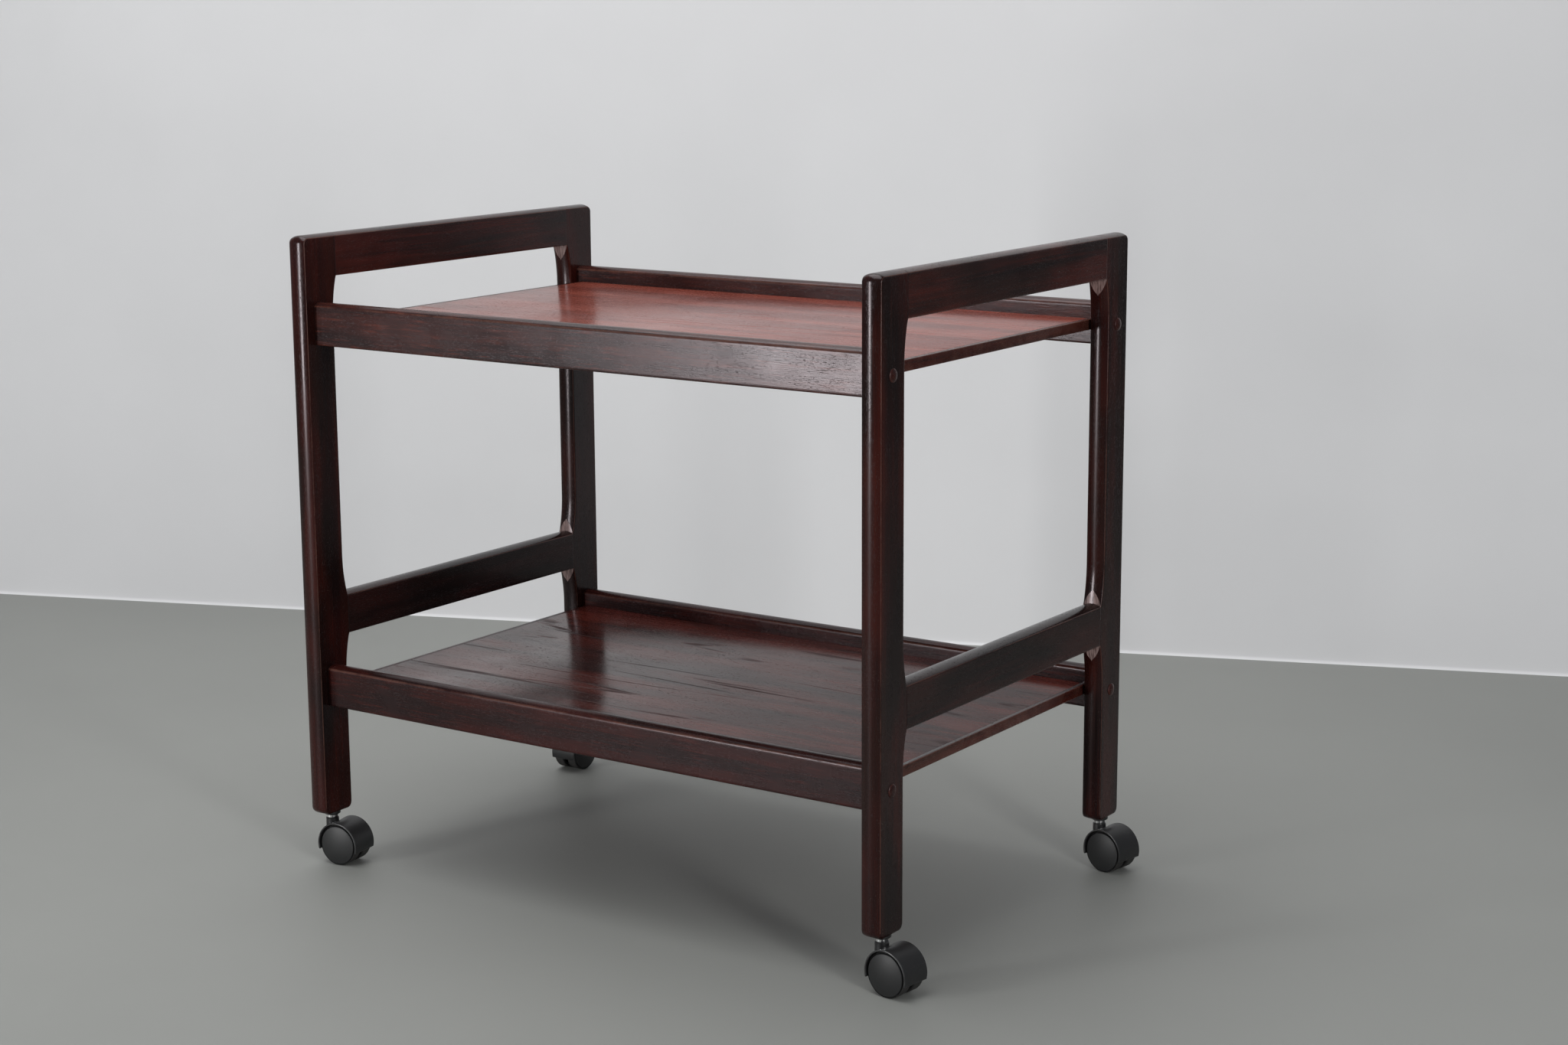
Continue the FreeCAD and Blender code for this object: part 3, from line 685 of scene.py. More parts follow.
# The plugs' rims are rubbed more strongly: partly wear, partly a painted highlight on the domed
# rim.
PLUG_WOOD = LacqueredWood(
    "plug_wood", dark=(0.020, 0.0062, 0.0050), middle=(0.060, 0.0125, 0.0085),
    bright=(0.12, 0.023, 0.013), wear_amount=0.75, roughness=0.24, ior=1.38,
)
DOWEL_WOOD = PlainWood("dowel_wood", dark=(0.42, 0.28, 0.15), bright=(0.58, 0.42, 0.25))
HOOD_PLASTIC = MouldedPlastic("hood_plastic", (0.012, 0.012, 0.0125), (0.09, 0.09, 0.09))
WHEEL_PLASTIC = MouldedPlastic("wheel_plastic", (0.009, 0.0092, 0.0097), (0.05, 0.05, 0.05), 0.44)
SOCKET_PLASTIC = MouldedPlastic("socket_plastic", (0.010, 0.010, 0.010), (0.06, 0.06, 0.06), 0.4)
CHROME = PlatedMetal("chromed_steel", (0.9, 0.9, 0.9), 0.17)
STEEL = PlatedMetal("plain_steel", (0.5, 0.49, 0.47), 0.34)
FLOOR_PAINT = StudioPaint("studio_floor", (0.268, 0.274, 0.258), 0.55)
WALL_PAINT = StudioPaint("studio_wall", (0.735, 0.735, 0.742), 0.8)
FINISHES = (FRAME_WOOD, HANDLE_WOOD, STRETCHER_WOOD, UPPER_RAIL_WOOD, LOWER_RAIL_WOOD,
            UPPER_VENEER, LOWER_VENEER, LIPPING_WOOD, PLUG_WOOD, DOWEL_WOOD, HOOD_PLASTIC,
            WHEEL_PLASTIC, SOCKET_PLASTIC, CHROME, STEEL, FLOOR_PAINT, WALL_PAINT)


# Meshes in the making


def arc(*degrees: float) -> list[Pair]:
    """The cosine and the sine of each angle."""
    return [(math.cos(math.radians(angle)), math.sin(math.radians(angle))) for angle in degrees]


def curve(share: float, pulls: Sequence[Pair]) -> Pair:
    """The point at a share of the curve that runs from the first of three points to the third."""
    weights = ((1 - share) ** 2, 2 * share * (1 - share), share**2)
    return tuple(sum(weight * pull[i] for weight, pull in zip(weights, pulls)) for i in (0, 1))


@dataclass
class Draft:
    """A mesh in the making: where each corner is, how rubbed and how grimy, where the grime also
    carries painted shade.

    Edges in creases stay sharp, and the flat cut facets are listed apart for a painted highlight.
    """

    corners: list[tuple[Vector, float, float]] = field(default_factory=list)
    faces: list[list[int]] = field(default_factory=list)
    creases: set[frozenset[int]] = field(default_factory=set)
    highlit_facets: set[int] = field(default_factory=set)

    def add(self, point: Vector, wear: float = 0.0, grime_and_shade: float = 0.0) -> int:
        """Add a corner and return its number."""
        self.corners.append((point, wear, grime_and_shade))
        return len(self.corners) - 1

    def bridge(self, rows: Sequence[Sequence[int]], closed: bool = False) -> None:
        """Fill between rows of as many points each.

        Args:
            rows: The numbers of the points, row by row.
            closed: True joins each row's end to its start.
        """
        count = len(rows[0])
        for first, second in zip(rows, rows[1:]):
            for here in range(count if closed else count - 1):
                there = (here + 1) % count
                self.faces.append([first[here], first[there], second[there], second[here]])

    def tube(self, rows: Sequence[list[int]]) -> None:
        """Fill between closed rows and cover both ends."""
        self.bridge(rows, closed=True)
        self.faces += [rows[0][::-1], rows[-1]]

    def panel(self, line: list[int]) -> None:
        """Close a flat face whose shading stays apart from the rounded edges around it."""
        self.faces.append(line)
        self.creases.update(frozenset(pair) for pair in zip(line, line[1:] + line[:1]))

    def crease(self, rows: Sequence[Sequence[int]], column: int) -> None:
        """Keep the line of one column sharp."""
        self.creases.update(frozenset((a[column], b[column])) for a, b in zip(rows, rows[1:]))

    def piece(self, name: str, material: bpy.types.Material, axis: GrainAxis,
              seed: float) -> bpy.types.Object:
        """Turn the draft into a scene object.

        Args:
            name: The object's name.
            material: Its finish.
            axis: The axis that its grain follows.
            seed: A number that moves the figure, so that no two pieces are alike.

        Returns:
            The object, with its grain, wear, grime and end-grain values stored on its points; the
            grime also carries painted shade.
        """
        shape = bmesh.new()
        wear_layer = shape.verts.layers.float.new("wear")
        grime_and_shade_layer = shape.verts.layers.float.new("grime_and_shade")
        highlit_facets_layer = shape.faces.layers.float.new("highlit_facets")
        corners = []
        for point, wear, grime_and_shade in self.corners:
            corner = shape.verts.new(point)
            corner[wear_layer], corner[grime_and_shade_layer] = wear, grime_and_shade
            corners.append(corner)
        for place, numbers in enumerate(self.faces):
            made = shape.faces.new([corners[number] for number in numbers])
            made.smooth = True
            made[highlit_facets_layer] = float(place in self.highlit_facets)
        for edge in shape.edges:
            if frozenset(corner.index for corner in edge.verts) in self.creases:
                edge.smooth = False
        bmesh.ops.remove_doubles(shape, verts=shape.verts, dist=MERGE_DISTANCE)
        bmesh.ops.dissolve_degenerate(shape, edges=shape.edges, dist=MERGE_DISTANCE)
        bmesh.ops.recalc_face_normals(shape, faces=shape.faces)
        for edge in shape.edges:
            if edge.is_manifold and edge.calc_face_angle(0.0) > SHARP_ANGLE:
                edge.smooth = False
        mesh = bpy.data.meshes.new(name)
        shape.to_mesh(mesh)
        shape.free()
        self.store_grain(mesh, axis, seed)
        mesh.materials.append(material)
        piece = bpy.data.objects.new(name, mesh)
        bpy.context.scene.collection.objects.link(piece)
        return piece

    @staticmethod
    def store_grain(mesh: bpy.types.Mesh, axis: GrainAxis, seed: float) -> None:
        """Store each point's place along and across the grain, and how far it faces along it.

        Args:
            mesh: The piece's mesh.
            axis: The axis that its grain follows.
            seed: A number that moves the figure.
        """
        shift = Vector((seed * 0.731, seed * 0.137, seed * 0.293))
        grain, ends = [], []
        for corner in mesh.vertices:
            grain.extend(Vector(corner.co[number] for number in axis.value) + shift)
            ends.append(abs(corner.normal[axis.value[0]]))
        mesh.attributes.new("grain", "FLOAT_VECTOR", "POINT").data.foreach_set("vector", grain)
        mesh.attributes.new("end_grain", "FLOAT", "POINT").data.foreach_set("value", ends)


@dataclass(frozen=True)
class SectionPoint:
    """A point of a section, with its wear; on a rim, u lies across it and v out of its arris."""

    u: float
    v: float
    wear: float = 0.0


@dataclass(frozen=True)
class Crown:
    """The crowned rim of a board, an arc from arris to arris, with both arrises rubbed round."""

    thickness: float
    rise: float
    easing: float = 0.0007
    apron: float = 0.0018
    steps: int = 8

    @property
    def radius(self) -> float:
        """Radius of the crown's arc."""
        return (self.thickness**2 / 4 + self.rise**2) / (2 * self.rise)

    def height(self, across: float) -> float:
        """Height of the crown over the line between its arrises."""
        return math.sqrt(max(self.radius**2 - across**2, 0.0)) - (self.radius - self.rise)

    def profile(self, limit: float = math.inf) -> list[SectionPoint]:
        """List the rim's points from one face to the other.

        Args:
            limit: The height where the rim is cut flat.

        Returns:
            The points.
        """
        half = self.thickness / 2
        level = min(max(limit, 0.0), self.rise)
        cut = math.sqrt(max(self.radius**2 - (level + self.radius - self.rise) ** 2, 0.0))
        cut = min(cut, half) if level < self.rise else 0.0
        reach = min(self.easing, 0.45 * (half - cut))
        pulls = ((half, -self.easing), (half, 0.0), (half - reach, self.height(half - reach)))
        rounded = [SectionPoint(half, -self.apron), SectionPoint(*pulls[0], 0.1)]
        rounded += [SectionPoint(*curve(share, pulls), 1.0) for share in (1 / 3, 2 / 3)]
        rounded.append(SectionPoint(*pulls[2], 0.1))
        for step in range(1, self.steps + 1):
            across = half - reach + (cut - (half - reach)) * step / self.steps
            rounded.append(SectionPoint(across, min(self.height(across), level)))
        return rounded + [replace(point, u=-point.u) for point in reversed(rounded)]

    def section(self, height: float) -> list[SectionPoint]:
        """The upper part of a board's section, for a board of that height."""
        return [replace(point, v=height - self.rise + point.v) for point in self.profile()]

    @property
    def cut_columns(self) -> tuple[int, int]:
        """Numbers of the two columns where a flat cut begins and ends."""
        middle = len(self.profile()) // 2
        return middle - 1, middle


@dataclass(frozen=True)
class Station:
    """A place on a board's outline: its arris, the way its rim faces, and where a cut stops it."""

    at: Pair
    out: Pair
    limit: float = math.inf


def sweep_rim(draft: Draft, crown: Crown, stations: Sequence[Station],
              place: Place) -> list[list[int]]:
    """Lay a crowned rim along stations.

    Args:
        draft: The mesh that the rim is added to.
        crown: The rim's profile.
        stations: The outline that it follows.
        place: Turns across, first and second outline coordinate into a point.

    Returns:
        The rows of point numbers, one for each station.
    """
    rows = []
    for station in stations:
        row = []
        for point in crown.profile(station.limit):
            first, second = (at + out * point.v for at, out in zip(station.at, station.out))
            row.append(draft.add(place(point.u, first, second), point.wear))
        rows.append(row)
    first_cut, last_cut = crown.cut_columns
    # The faces of the flat cut facets are listed for their painted highlight.
    for number, pair in enumerate(zip(stations, stations[1:])):
        if min(station.limit for station in pair) < crown.rise:
            draft.highlit_facets.add(len(draft.faces) + number * (len(rows[0]) - 1) + first_cut)
    draft.bridge(rows)
    draft.crease(rows, first_cut)
    draft.crease(rows, last_cut)
    return rows


def corner_round(corner: Pair, turn_in: tuple[int, int], radius: float, wear: float = 1.0,
                 backwards: bool = False) -> list[SectionPoint]:
    """Round a section's square corner.

    Args:
        corner: Where the two sides would meet.
        turn_in: The signs of u and v that lead from the corner into the section.
        radius: The radius.
        wear: How rubbed its middle is.
        backwards: False starts on the side along v, True on the side along u.

    Returns:
        Four points of the quarter circle, with a flat shoulder point at each end.
    """
    u, v = (at + way * radius for at, way in zip(corner, turn_in))
    points = [SectionPoint(corner[0], v + turn_in[1] * radius)]
    for (cosine, sine), share in zip(arc(0, 30, 60, 90), (0.4, 1.0, 1.0, 0.4)):
        points.append(SectionPoint(u - turn_in[0] * radius * cosine,
                                   v - turn_in[1] * radius * sine, wear * share))
    points.append(SectionPoint(u + turn_in[0] * radius, corner[1]))
    return points[::-1] if backwards else points


def both_rounds(half: float, v: float, into: int, radius: float, wear: float) -> list[SectionPoint]:
    """Round both corners of a section's side at v, where into is the sign that leads inside."""
    return (corner_round((-half, v), (1, into), radius, wear)
            + corner_round((half, v), (-1, into), radius, wear, backwards=True))


@dataclass(frozen=True)
class Slice:
    """One place along an extruded bar: how far along, how far drawn in, and its marks."""

    along: float
    inset: float = 0.0
    wear: float = 0.0
    grime_and_shade: float = 0.0


def extrude(draft: Draft, section: Sequence[SectionPoint], slices: Sequence[Slice],
            place: Place) -> None:
    """Run a closed section along a line and close both ends.

    Args:
        draft: The mesh that the bar is added to.
        section: The closed section.
        slices: The places along the bar.
        place: Turns along, u and v into a point.
    """
    low = (min(p.u for p in section), min(p.v for p in section))
    high = (max(p.u for p in section), max(p.v for p in section))
    (u, half_u), (v, half_v) = (((a + b) / 2, (b - a) / 2) for a, b in zip(low, high))
    draft.tube([[draft.add(place(cut.along, u + (point.u - u) * (1 - cut.inset / half_u),
                                 v + (point.v - v) * (1 - cut.inset / half_v)),
                           max(point.wear, cut.wear), cut.grime_and_shade) for point in section]
                for cut in slices])


def abutting_slices(low: float, high: float) -> list[Slice]:
    """Slices of a bar whose two ends butt against its neighbours in a fine dark line."""
    ends = ((0.0, 0.00022, 1.0), (0.00035, 0.0, 0.7), (0.0011, 0.0, 0.0))
    start = [Slice(low + step, inset, 0.0, grime_and_shade) for step, inset, grime_and_shade in ends]
    return start + [Slice(high - step, inset, 0.0, grime_and_shade) for step, inset, grime_and_shade in ends[::-1]]


def turn(draft: Draft, profile: Sequence[Sequence[float]], place: Place,
         segments: int = 48) -> None:
    """Turn an open profile about the third axis.

    Args:
        draft: The mesh that the turned shape is added to.
        profile: Each point's radius and place on the axis, then its wear and grime, which may be
        left out; the grime also carries painted shade.
        place: Turns a point about the third axis into a point of the cart.
        segments: How many steps a full turn has.
    """
    ways = [math.tau * step / segments for step in range(segments)]
    rows = [[draft.add(place(radius * math.cos(way), radius * math.sin(way), along), *marks)
             for way in ways] for radius, along, *marks in profile]
    draft.bridge(rows, closed=True)
    draft.faces += [rows[end] for end in (0, -1) if profile[end][0] > MERGE_DISTANCE]


# The cart's sub-assemblies


@dataclass
class Assembly:
    """A part of the cart, whose pieces share the finishes' materials."""

    materials: dict[Finish, bpy.types.Material]

    def fit(self, draft: Draft, node: str, finish: Finish, axis: GrainAxis, seed: float,
            body: str = "cart", ending: str = "lacquered") -> None:
        """Turn a draft into a piece, fix it to its body in the place of its node and log it.

        Args:
            draft: The piece's mesh.
            node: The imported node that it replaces.
            finish: What it is made of.
            axis: The axis that its grain follows.
            seed: A number that moves the figure.
            body: The body that it rides on.
            ending: The last word of its name.
        """
        piece = draft.piece(f"{node}_{ending}", self.materials[finish], axis, seed)
        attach(piece, body)
        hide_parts(node)
        log.info("%s rides on %s and stands for %s", piece.name, body, node)


@dataclass
class EndFrame(Assembly):
    """Two legs, a handle rail and a stretcher, joined flush and crowned all round."""

    side: Side
    thickness: float = 0.019
    leg_width: float = 0.040
    leg_length: float = 0.558
    crown_rise: float = 0.0025
    flare_rise: float = 0.0054
    flare_length: float = 0.040
    facet_lean: float = 0.045
    corner_radius: float = 0.005
    corner_run: float = 0.004
    foot_rounding: float = 0.0065
    foot_easing: float = 0.0010
    rail_height: float = 0.040
    stretcher_lift: float = 0.173
    rail_easing: float = 0.0012
    # Width of the thin ring of painted shade round each plug's foot.
    plug_radius: float = 0.00595
    plug_dome: float = 0.002
    plug_shade_ring: float = 0.00012
    arc_steps: int = 9
    dome_steps: int = 12

    def __post_init__(self) -> None:
        """Work out the frame's place and its joints."""
        low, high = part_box(f"leg_{self.side.word}_front")
        self.x = (low.x + high.x) / 2
        self.front, self.foot = low.y, low.z
        self.crown = Crown(self.thickness, self.crown_rise)
        self.outer = self.crown_rise
        self.inner = self.leg_width - self.crown_rise
        self.joint = self.inner + self.flare_rise
        self.top = self.leg_length - self.crown_rise
        self.handle_low = self.leg_length - self.rail_height
        self.stretcher_high = self.stretcher_lift + self.rail_height - self.crown_rise

    def build(self) -> None:
        """Build and dress every piece of the frame."""
        for end in End:
            self.leg(end)
        self.rail("handle_rail", self.handle_low, HANDLE_WOOD, 3.1)
        self.rail("stretcher", self.stretcher_lift, STRETCHER_WOOD, 5.7)
        self.plugs()

    def outer_run(self) -> list[Station]:
        """List the stations up the outer edge and along the top to the joint.

        Returns:
            The stations, from the foot on.
        """
        radius = self.corner_radius
        centre = (self.outer + radius, self.top - radius)
        run = [Station((self.outer, height), (-1.0, 0.0))
               for height in (self.foot_rounding, centre[1] - self.corner_run)]
        for step in range(self.arc_steps + 1):
            angle = math.pi - math.pi / 2 * step / self.arc_steps
            way = (math.cos(angle), math.sin(angle))
            run.append(Station((centre[0] + radius * way[0], centre[1] + radius * way[1]), way))
        return [*run, Station((self.joint, self.top), (0.0, 1.0))]

    def flare(self, joint_height: float, upwards: int) -> list[Station]:
        """List the stations from a rail joint along its flare to the straight inner edge.

        Args:
            joint_height: Where the flare meets the rail.
            upwards: 1 where the flare widens upwards to its joint, -1 where it widens downwards.

        Returns:
            The stations, the one at the joint first.
        """
        radius = (self.flare_length**2 + self.flare_rise**2) / (2 * self.flare_rise)
        widest = math.asin(self.flare_length / radius)
        start = joint_height - upwards * self.flare_length
        run = []
        for step in range(2 * self.arc_steps, -1, -1):
            angle = widest * step / (2 * self.arc_steps)
            out = (math.cos(angle), -upwards * math.sin(angle))
            at = (self.inner + radius * (1 - out[0]), start - radius * out[1])
            lean = self.facet_lean * abs(joint_height - at[1])
            run.append(Station(at, out, (self.joint - lean - at[0]) / out[0]))
        return run

    def leg(self, end: End) -> None:
        """Build a leg: crowned rims, two flat faces, seats for the rails and an eased foot.

        Args:
            end: Which long side it stands at.
        """
        draft = Draft()

        def place(across: float, inwards: float, up: float) -> Vector:
            """A point from across the leg, inwards from its outer crest, and up from its foot."""
            return Vector((self.x + across, end.value * (-self.front - inwards), self.foot + up))

        outer = sweep_rim(draft, self.crown, self.outer_run(), place)
        bay_run = self.flare(self.handle_low, 1) + self.flare(self.stretcher_high, -1)[::-1]
        bay = sweep_rim(draft, self.crown, bay_run, place)
        foot = Station((self.inner, self.foot_rounding), (1.0, 0.0))
        low = sweep_rim(draft, self.crown, [*self.flare(self.stretcher_lift, 1), foot], place)

        heights = (self.handle_low + self.crown.apron, self.stretcher_high - self.crown.apron,
                   self.stretcher_lift + self.crown.apron)
        seats: list[list[int]] = []
        for edge, step in ((0, 1), (-1, -1)):
            seat = [draft.add(place(step * self.thickness / 2, self.joint, height))
                    for height in heights]
            for corner, row in zip(seat, (bay[0], bay[-1], low[0])):
                draft.panel([corner, row[edge + 3 * step], row[edge + step], row[edge]])
            lines = [[row[edge] for row in rows] for rows in (outer, bay, low)]
            draft.panel(lines[0] + seat[:1] + lines[1] + seat[1:] + lines[2])
            seats.append(seat)
        near, far = seats
        draft.panel(outer[-1] + [far[0], bay[0][-4], bay[0][3], near[0]])
        draft.panel([near[1], bay[-1][3], bay[-1][-4], far[1], far[2], low[0][-4], low[0][3],
                     near[2]])
        self.ease_foot(draft, outer[0] + low[-1][::-1])
        self.fit(draft, f"leg_{self.side.word}_{end.word}", FRAME_WOOD,
                 GrainAxis.ALONG_Z, 1.0 + 0.37 * self.side.value + 0.9 * end.value)

    def ease_foot(self, draft: Draft, ring: list[int]) -> None:
        """Round the foot's rims down from a ring of points and close it underneath.

        Args:
            draft: The leg's mesh.
            ring: The numbers of the points above the foot.
        """
        points = [draft.corners[number][0] for number in ring]
        low_y, high_y = min(point.y for point in points), max(point.y for point in points)
        middle = Vector((self.x, (low_y + high_y) / 2, points[0].z))
        rows = [ring]
        for cosine, sine in arc(*range(15, 91, 15)):
            curl = 1 - cosine
            row = []
            for point in points:
                way = point - middle
                way.x *= 1 - self.foot_easing * curl**2 / (self.thickness / 2)
                way.y *= 1 - self.foot_rounding * curl / ((high_y - low_y) / 2)
                way.z = -self.foot_rounding * sine
                row.append(draft.add(middle + way, 0.6 * curl, 0.3 * curl))
            rows.append(row)
        draft.bridge(rows, closed=True)
        draft.faces.append(rows[-1])

    def rail(self, kind: str, lift: float, finish: Finish, seed: float) -> None:
        """Build a rail between the legs, with a crowned top and an eased underside.

        Args:
            kind: The first words of its node's name.
            lift: How high its underside is over the legs' feet.
            finish: What it is made of.
            seed: A number that moves the figure.
        """
        draft = Draft()
        section = self.crown.section(self.rail_height)
        section += both_rounds(self.thickness / 2, 0.0, 1, self.rail_easing, 0.6)
        reach = -self.front - self.joint

        def place(along: float, across: float, up: float) -> Vector:
            """A point from along the rail, across it, and up from its underside."""
            return Vector((self.x + across, along, self.foot + lift + up))

        extrude(draft, section, abutting_slices(-reach, reach), place)
        self.fit(draft, f"{kind}_{self.side.word}", finish, GrainAxis.ALONG_Y,
                 seed + 0.61 * self.side.value)

    def plugs(self) -> None:
        """Build the four domed plugs that cover the frame's screws."""
        draft = Draft()
        name = f"screw_plugs_{self.side.word}"
        low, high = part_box(name)
        face = self.x + self.side.value * self.thickness / 2
        radius, ring = self.plug_radius, self.plug_shade_ring
        depth = abs((low.x if self.side is Side.RIGHT else high.x) - face)
        # Each plug's foot gets a thin ring with full grime, and the dome's lowest step gets some
        # grime: painted shade standing for the dark gap round a plug.
        profile = [(radius, -depth), (radius, -0.0001, 0.0, 1.0),
                   (radius + ring, ring / 4, 0.0, 1.0), (radius, ring / 2, 0.0, 1.0)]
        # The dome's band near its rim is rubbed: partly wear, partly a painted highlight.
        for step in range(1, self.dome_steps + 1):
            angle = math.pi / 2 * step / self.dome_steps
            profile.append((radius * math.cos(angle), self.plug_dome * math.sin(angle),
                            0.4 if step in (3, 4) else 0.0, 0.6 if step == 1 else 0.0))
        for y in (low.y + radius, high.y - radius):
            for z in (low.z + radius, high.z - radius):
                turn(draft, profile, lambda a, b, c, y=y, z=z: Vector(
                    (face + self.side.value * c, y + a, z + b)), 40)
        self.fit(draft, name, PLUG_WOOD, GrainAxis.ALONG_X, 2.3)


@dataclass
class ShelfTier(Assembly):
    """A shelf between its two long rails."""

    tier: Tier
    rail_height: float = 0.040
    rail_thickness: float = 0.016
    rail_crown: float = 0.0035
    rail_easing: float = 0.0015
    groove_lift: float = 0.0137
    groove_depth: float = 0.005
    groove_play: float = 0.0001
    board_thickness: float = 0.010
    board_reach: float = 0.0002
    tongue_step: float = 0.001
    board_easing: float = 0.0004
    lipping_easing: float = 0.0009
    seam_inset: float = 0.00012
    seam_width: float = 0.0003

    def build(self) -> None:
        """Build and dress both rails, the panel and its two lippings."""
        for end in End:
            self.rail(end)
        name = f"shelf_{self.tier.word}"
        low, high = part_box(name)
        panel = [self.seam(low.x), Slice(low.x + self.seam_width),
                 Slice(high.x - self.seam_width), self.seam(high.x)]
        veneer = UPPER_VENEER if self.tier is Tier.UPPER else LOWER_VENEER
        self.board(name, panel, veneer, GrainAxis.ALONG_X, 4.3)
        for side in Side:
            self.lipping(side)

    def seam(self, along: float) -> Slice:
        """The end of a board that butts against the next, with the glue line's grime."""
        return Slice(along, self.seam_inset, 0.0, 0.6)

    def rail(self, end: End) -> None:
        """Build a long rail: crowned on top, grooved for the shelf and eased underneath.

        Args:
            end: Which long side it runs along.
        """
        draft = Draft()
        name = f"long_rail_{self.tier.word}_{end.word}"
        low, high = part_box(name)
        half, middle = self.rail_thickness / 2, (low.y + high.y) / 2
        groove_high = self.groove_lift + self.board_thickness - self.tongue_step + self.groove_play
        floor = half - self.groove_depth
        crown = Crown(self.rail_thickness, self.rail_crown, easing=0.0014, apron=0.0026, steps=9)
        section = crown.section(self.rail_height)
        section += both_rounds(half, 0.0, 1, self.rail_easing, 0.5)
        section += [SectionPoint(half, self.groove_lift), SectionPoint(floor, self.groove_lift),
                    SectionPoint(floor, groove_high), SectionPoint(half, groove_high)]

        def place(along: float, inwards: float, up: float) -> Vector:
            """A point from along the rail, inwards from its middle, and up from its underside."""
            return Vector((along, middle - end.value * inwards, low.z + up))

        extrude(draft, section, abutting_slices(low.x, high.x), place)
        finish = UPPER_RAIL_WOOD if self.tier is Tier.UPPER else LOWER_RAIL_WOOD
        self.fit(draft, name, finish, GrainAxis.ALONG_X,
                 1.7 + 0.53 * end.value + 2.9 * self.tier.value)

    def board(self, name: str, slices: Sequence[Slice], finish: Finish, axis: GrainAxis,
              seed: float) -> None:
        """Build a length of shelf whose long edges are stepped down to tongues.

        Args:
            name: The node's name.
            slices: The places along the shelf.
            finish: What it is made of.
            axis: The axis that its grain follows.
            seed: A number that moves the figure.
        """
        draft = Draft()
        low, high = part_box(name)
        face = high.y - self.groove_depth + self.board_reach
        step = self.board_thickness - self.tongue_step
        section = both_rounds(face, self.board_thickness, -1, self.board_easing, 0.3)
        section += [SectionPoint(face, step), SectionPoint(high.y, step), SectionPoint(high.y, 0.0),
                    SectionPoint(low.y, 0.0), SectionPoint(low.y, step), SectionPoint(-face, step)]
        extrude(draft, section, slices, lambda along, u, v: Vector((along, u, low.z + v)))
        self.fit(draft, name, finish, axis, seed)

    def lipping(self, side: Side) -> None:
        """Build a solid lipping, rounded along the shelf's end.

        Args:
            side: Which end of the shelf it closes.
        """
        name = f"shelf_{self.tier.word}_lipping_{side.word}"
        low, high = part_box(name)
        inner, outer = (low.x, high.x) if side is Side.RIGHT else (high.x, low.x)
        away, ease = side.value, self.lipping_easing
        slices = [self.seam(inner), Slice(inner + away * self.seam_width),
                  Slice(outer - away * 2 * ease), Slice(outer - away * ease, 0.0, 0.4)]
        for (cosine, sine), wear in zip(arc(30, 60, 90), (0.9, 0.9, 0.5)):
            slices.append(Slice(outer - away * ease * (1 - sine), ease * (1 - cosine), wear))
        self.board(name, slices, LIPPING_WOOD, GrainAxis.ALONG_Y, 6.1 + side.value)


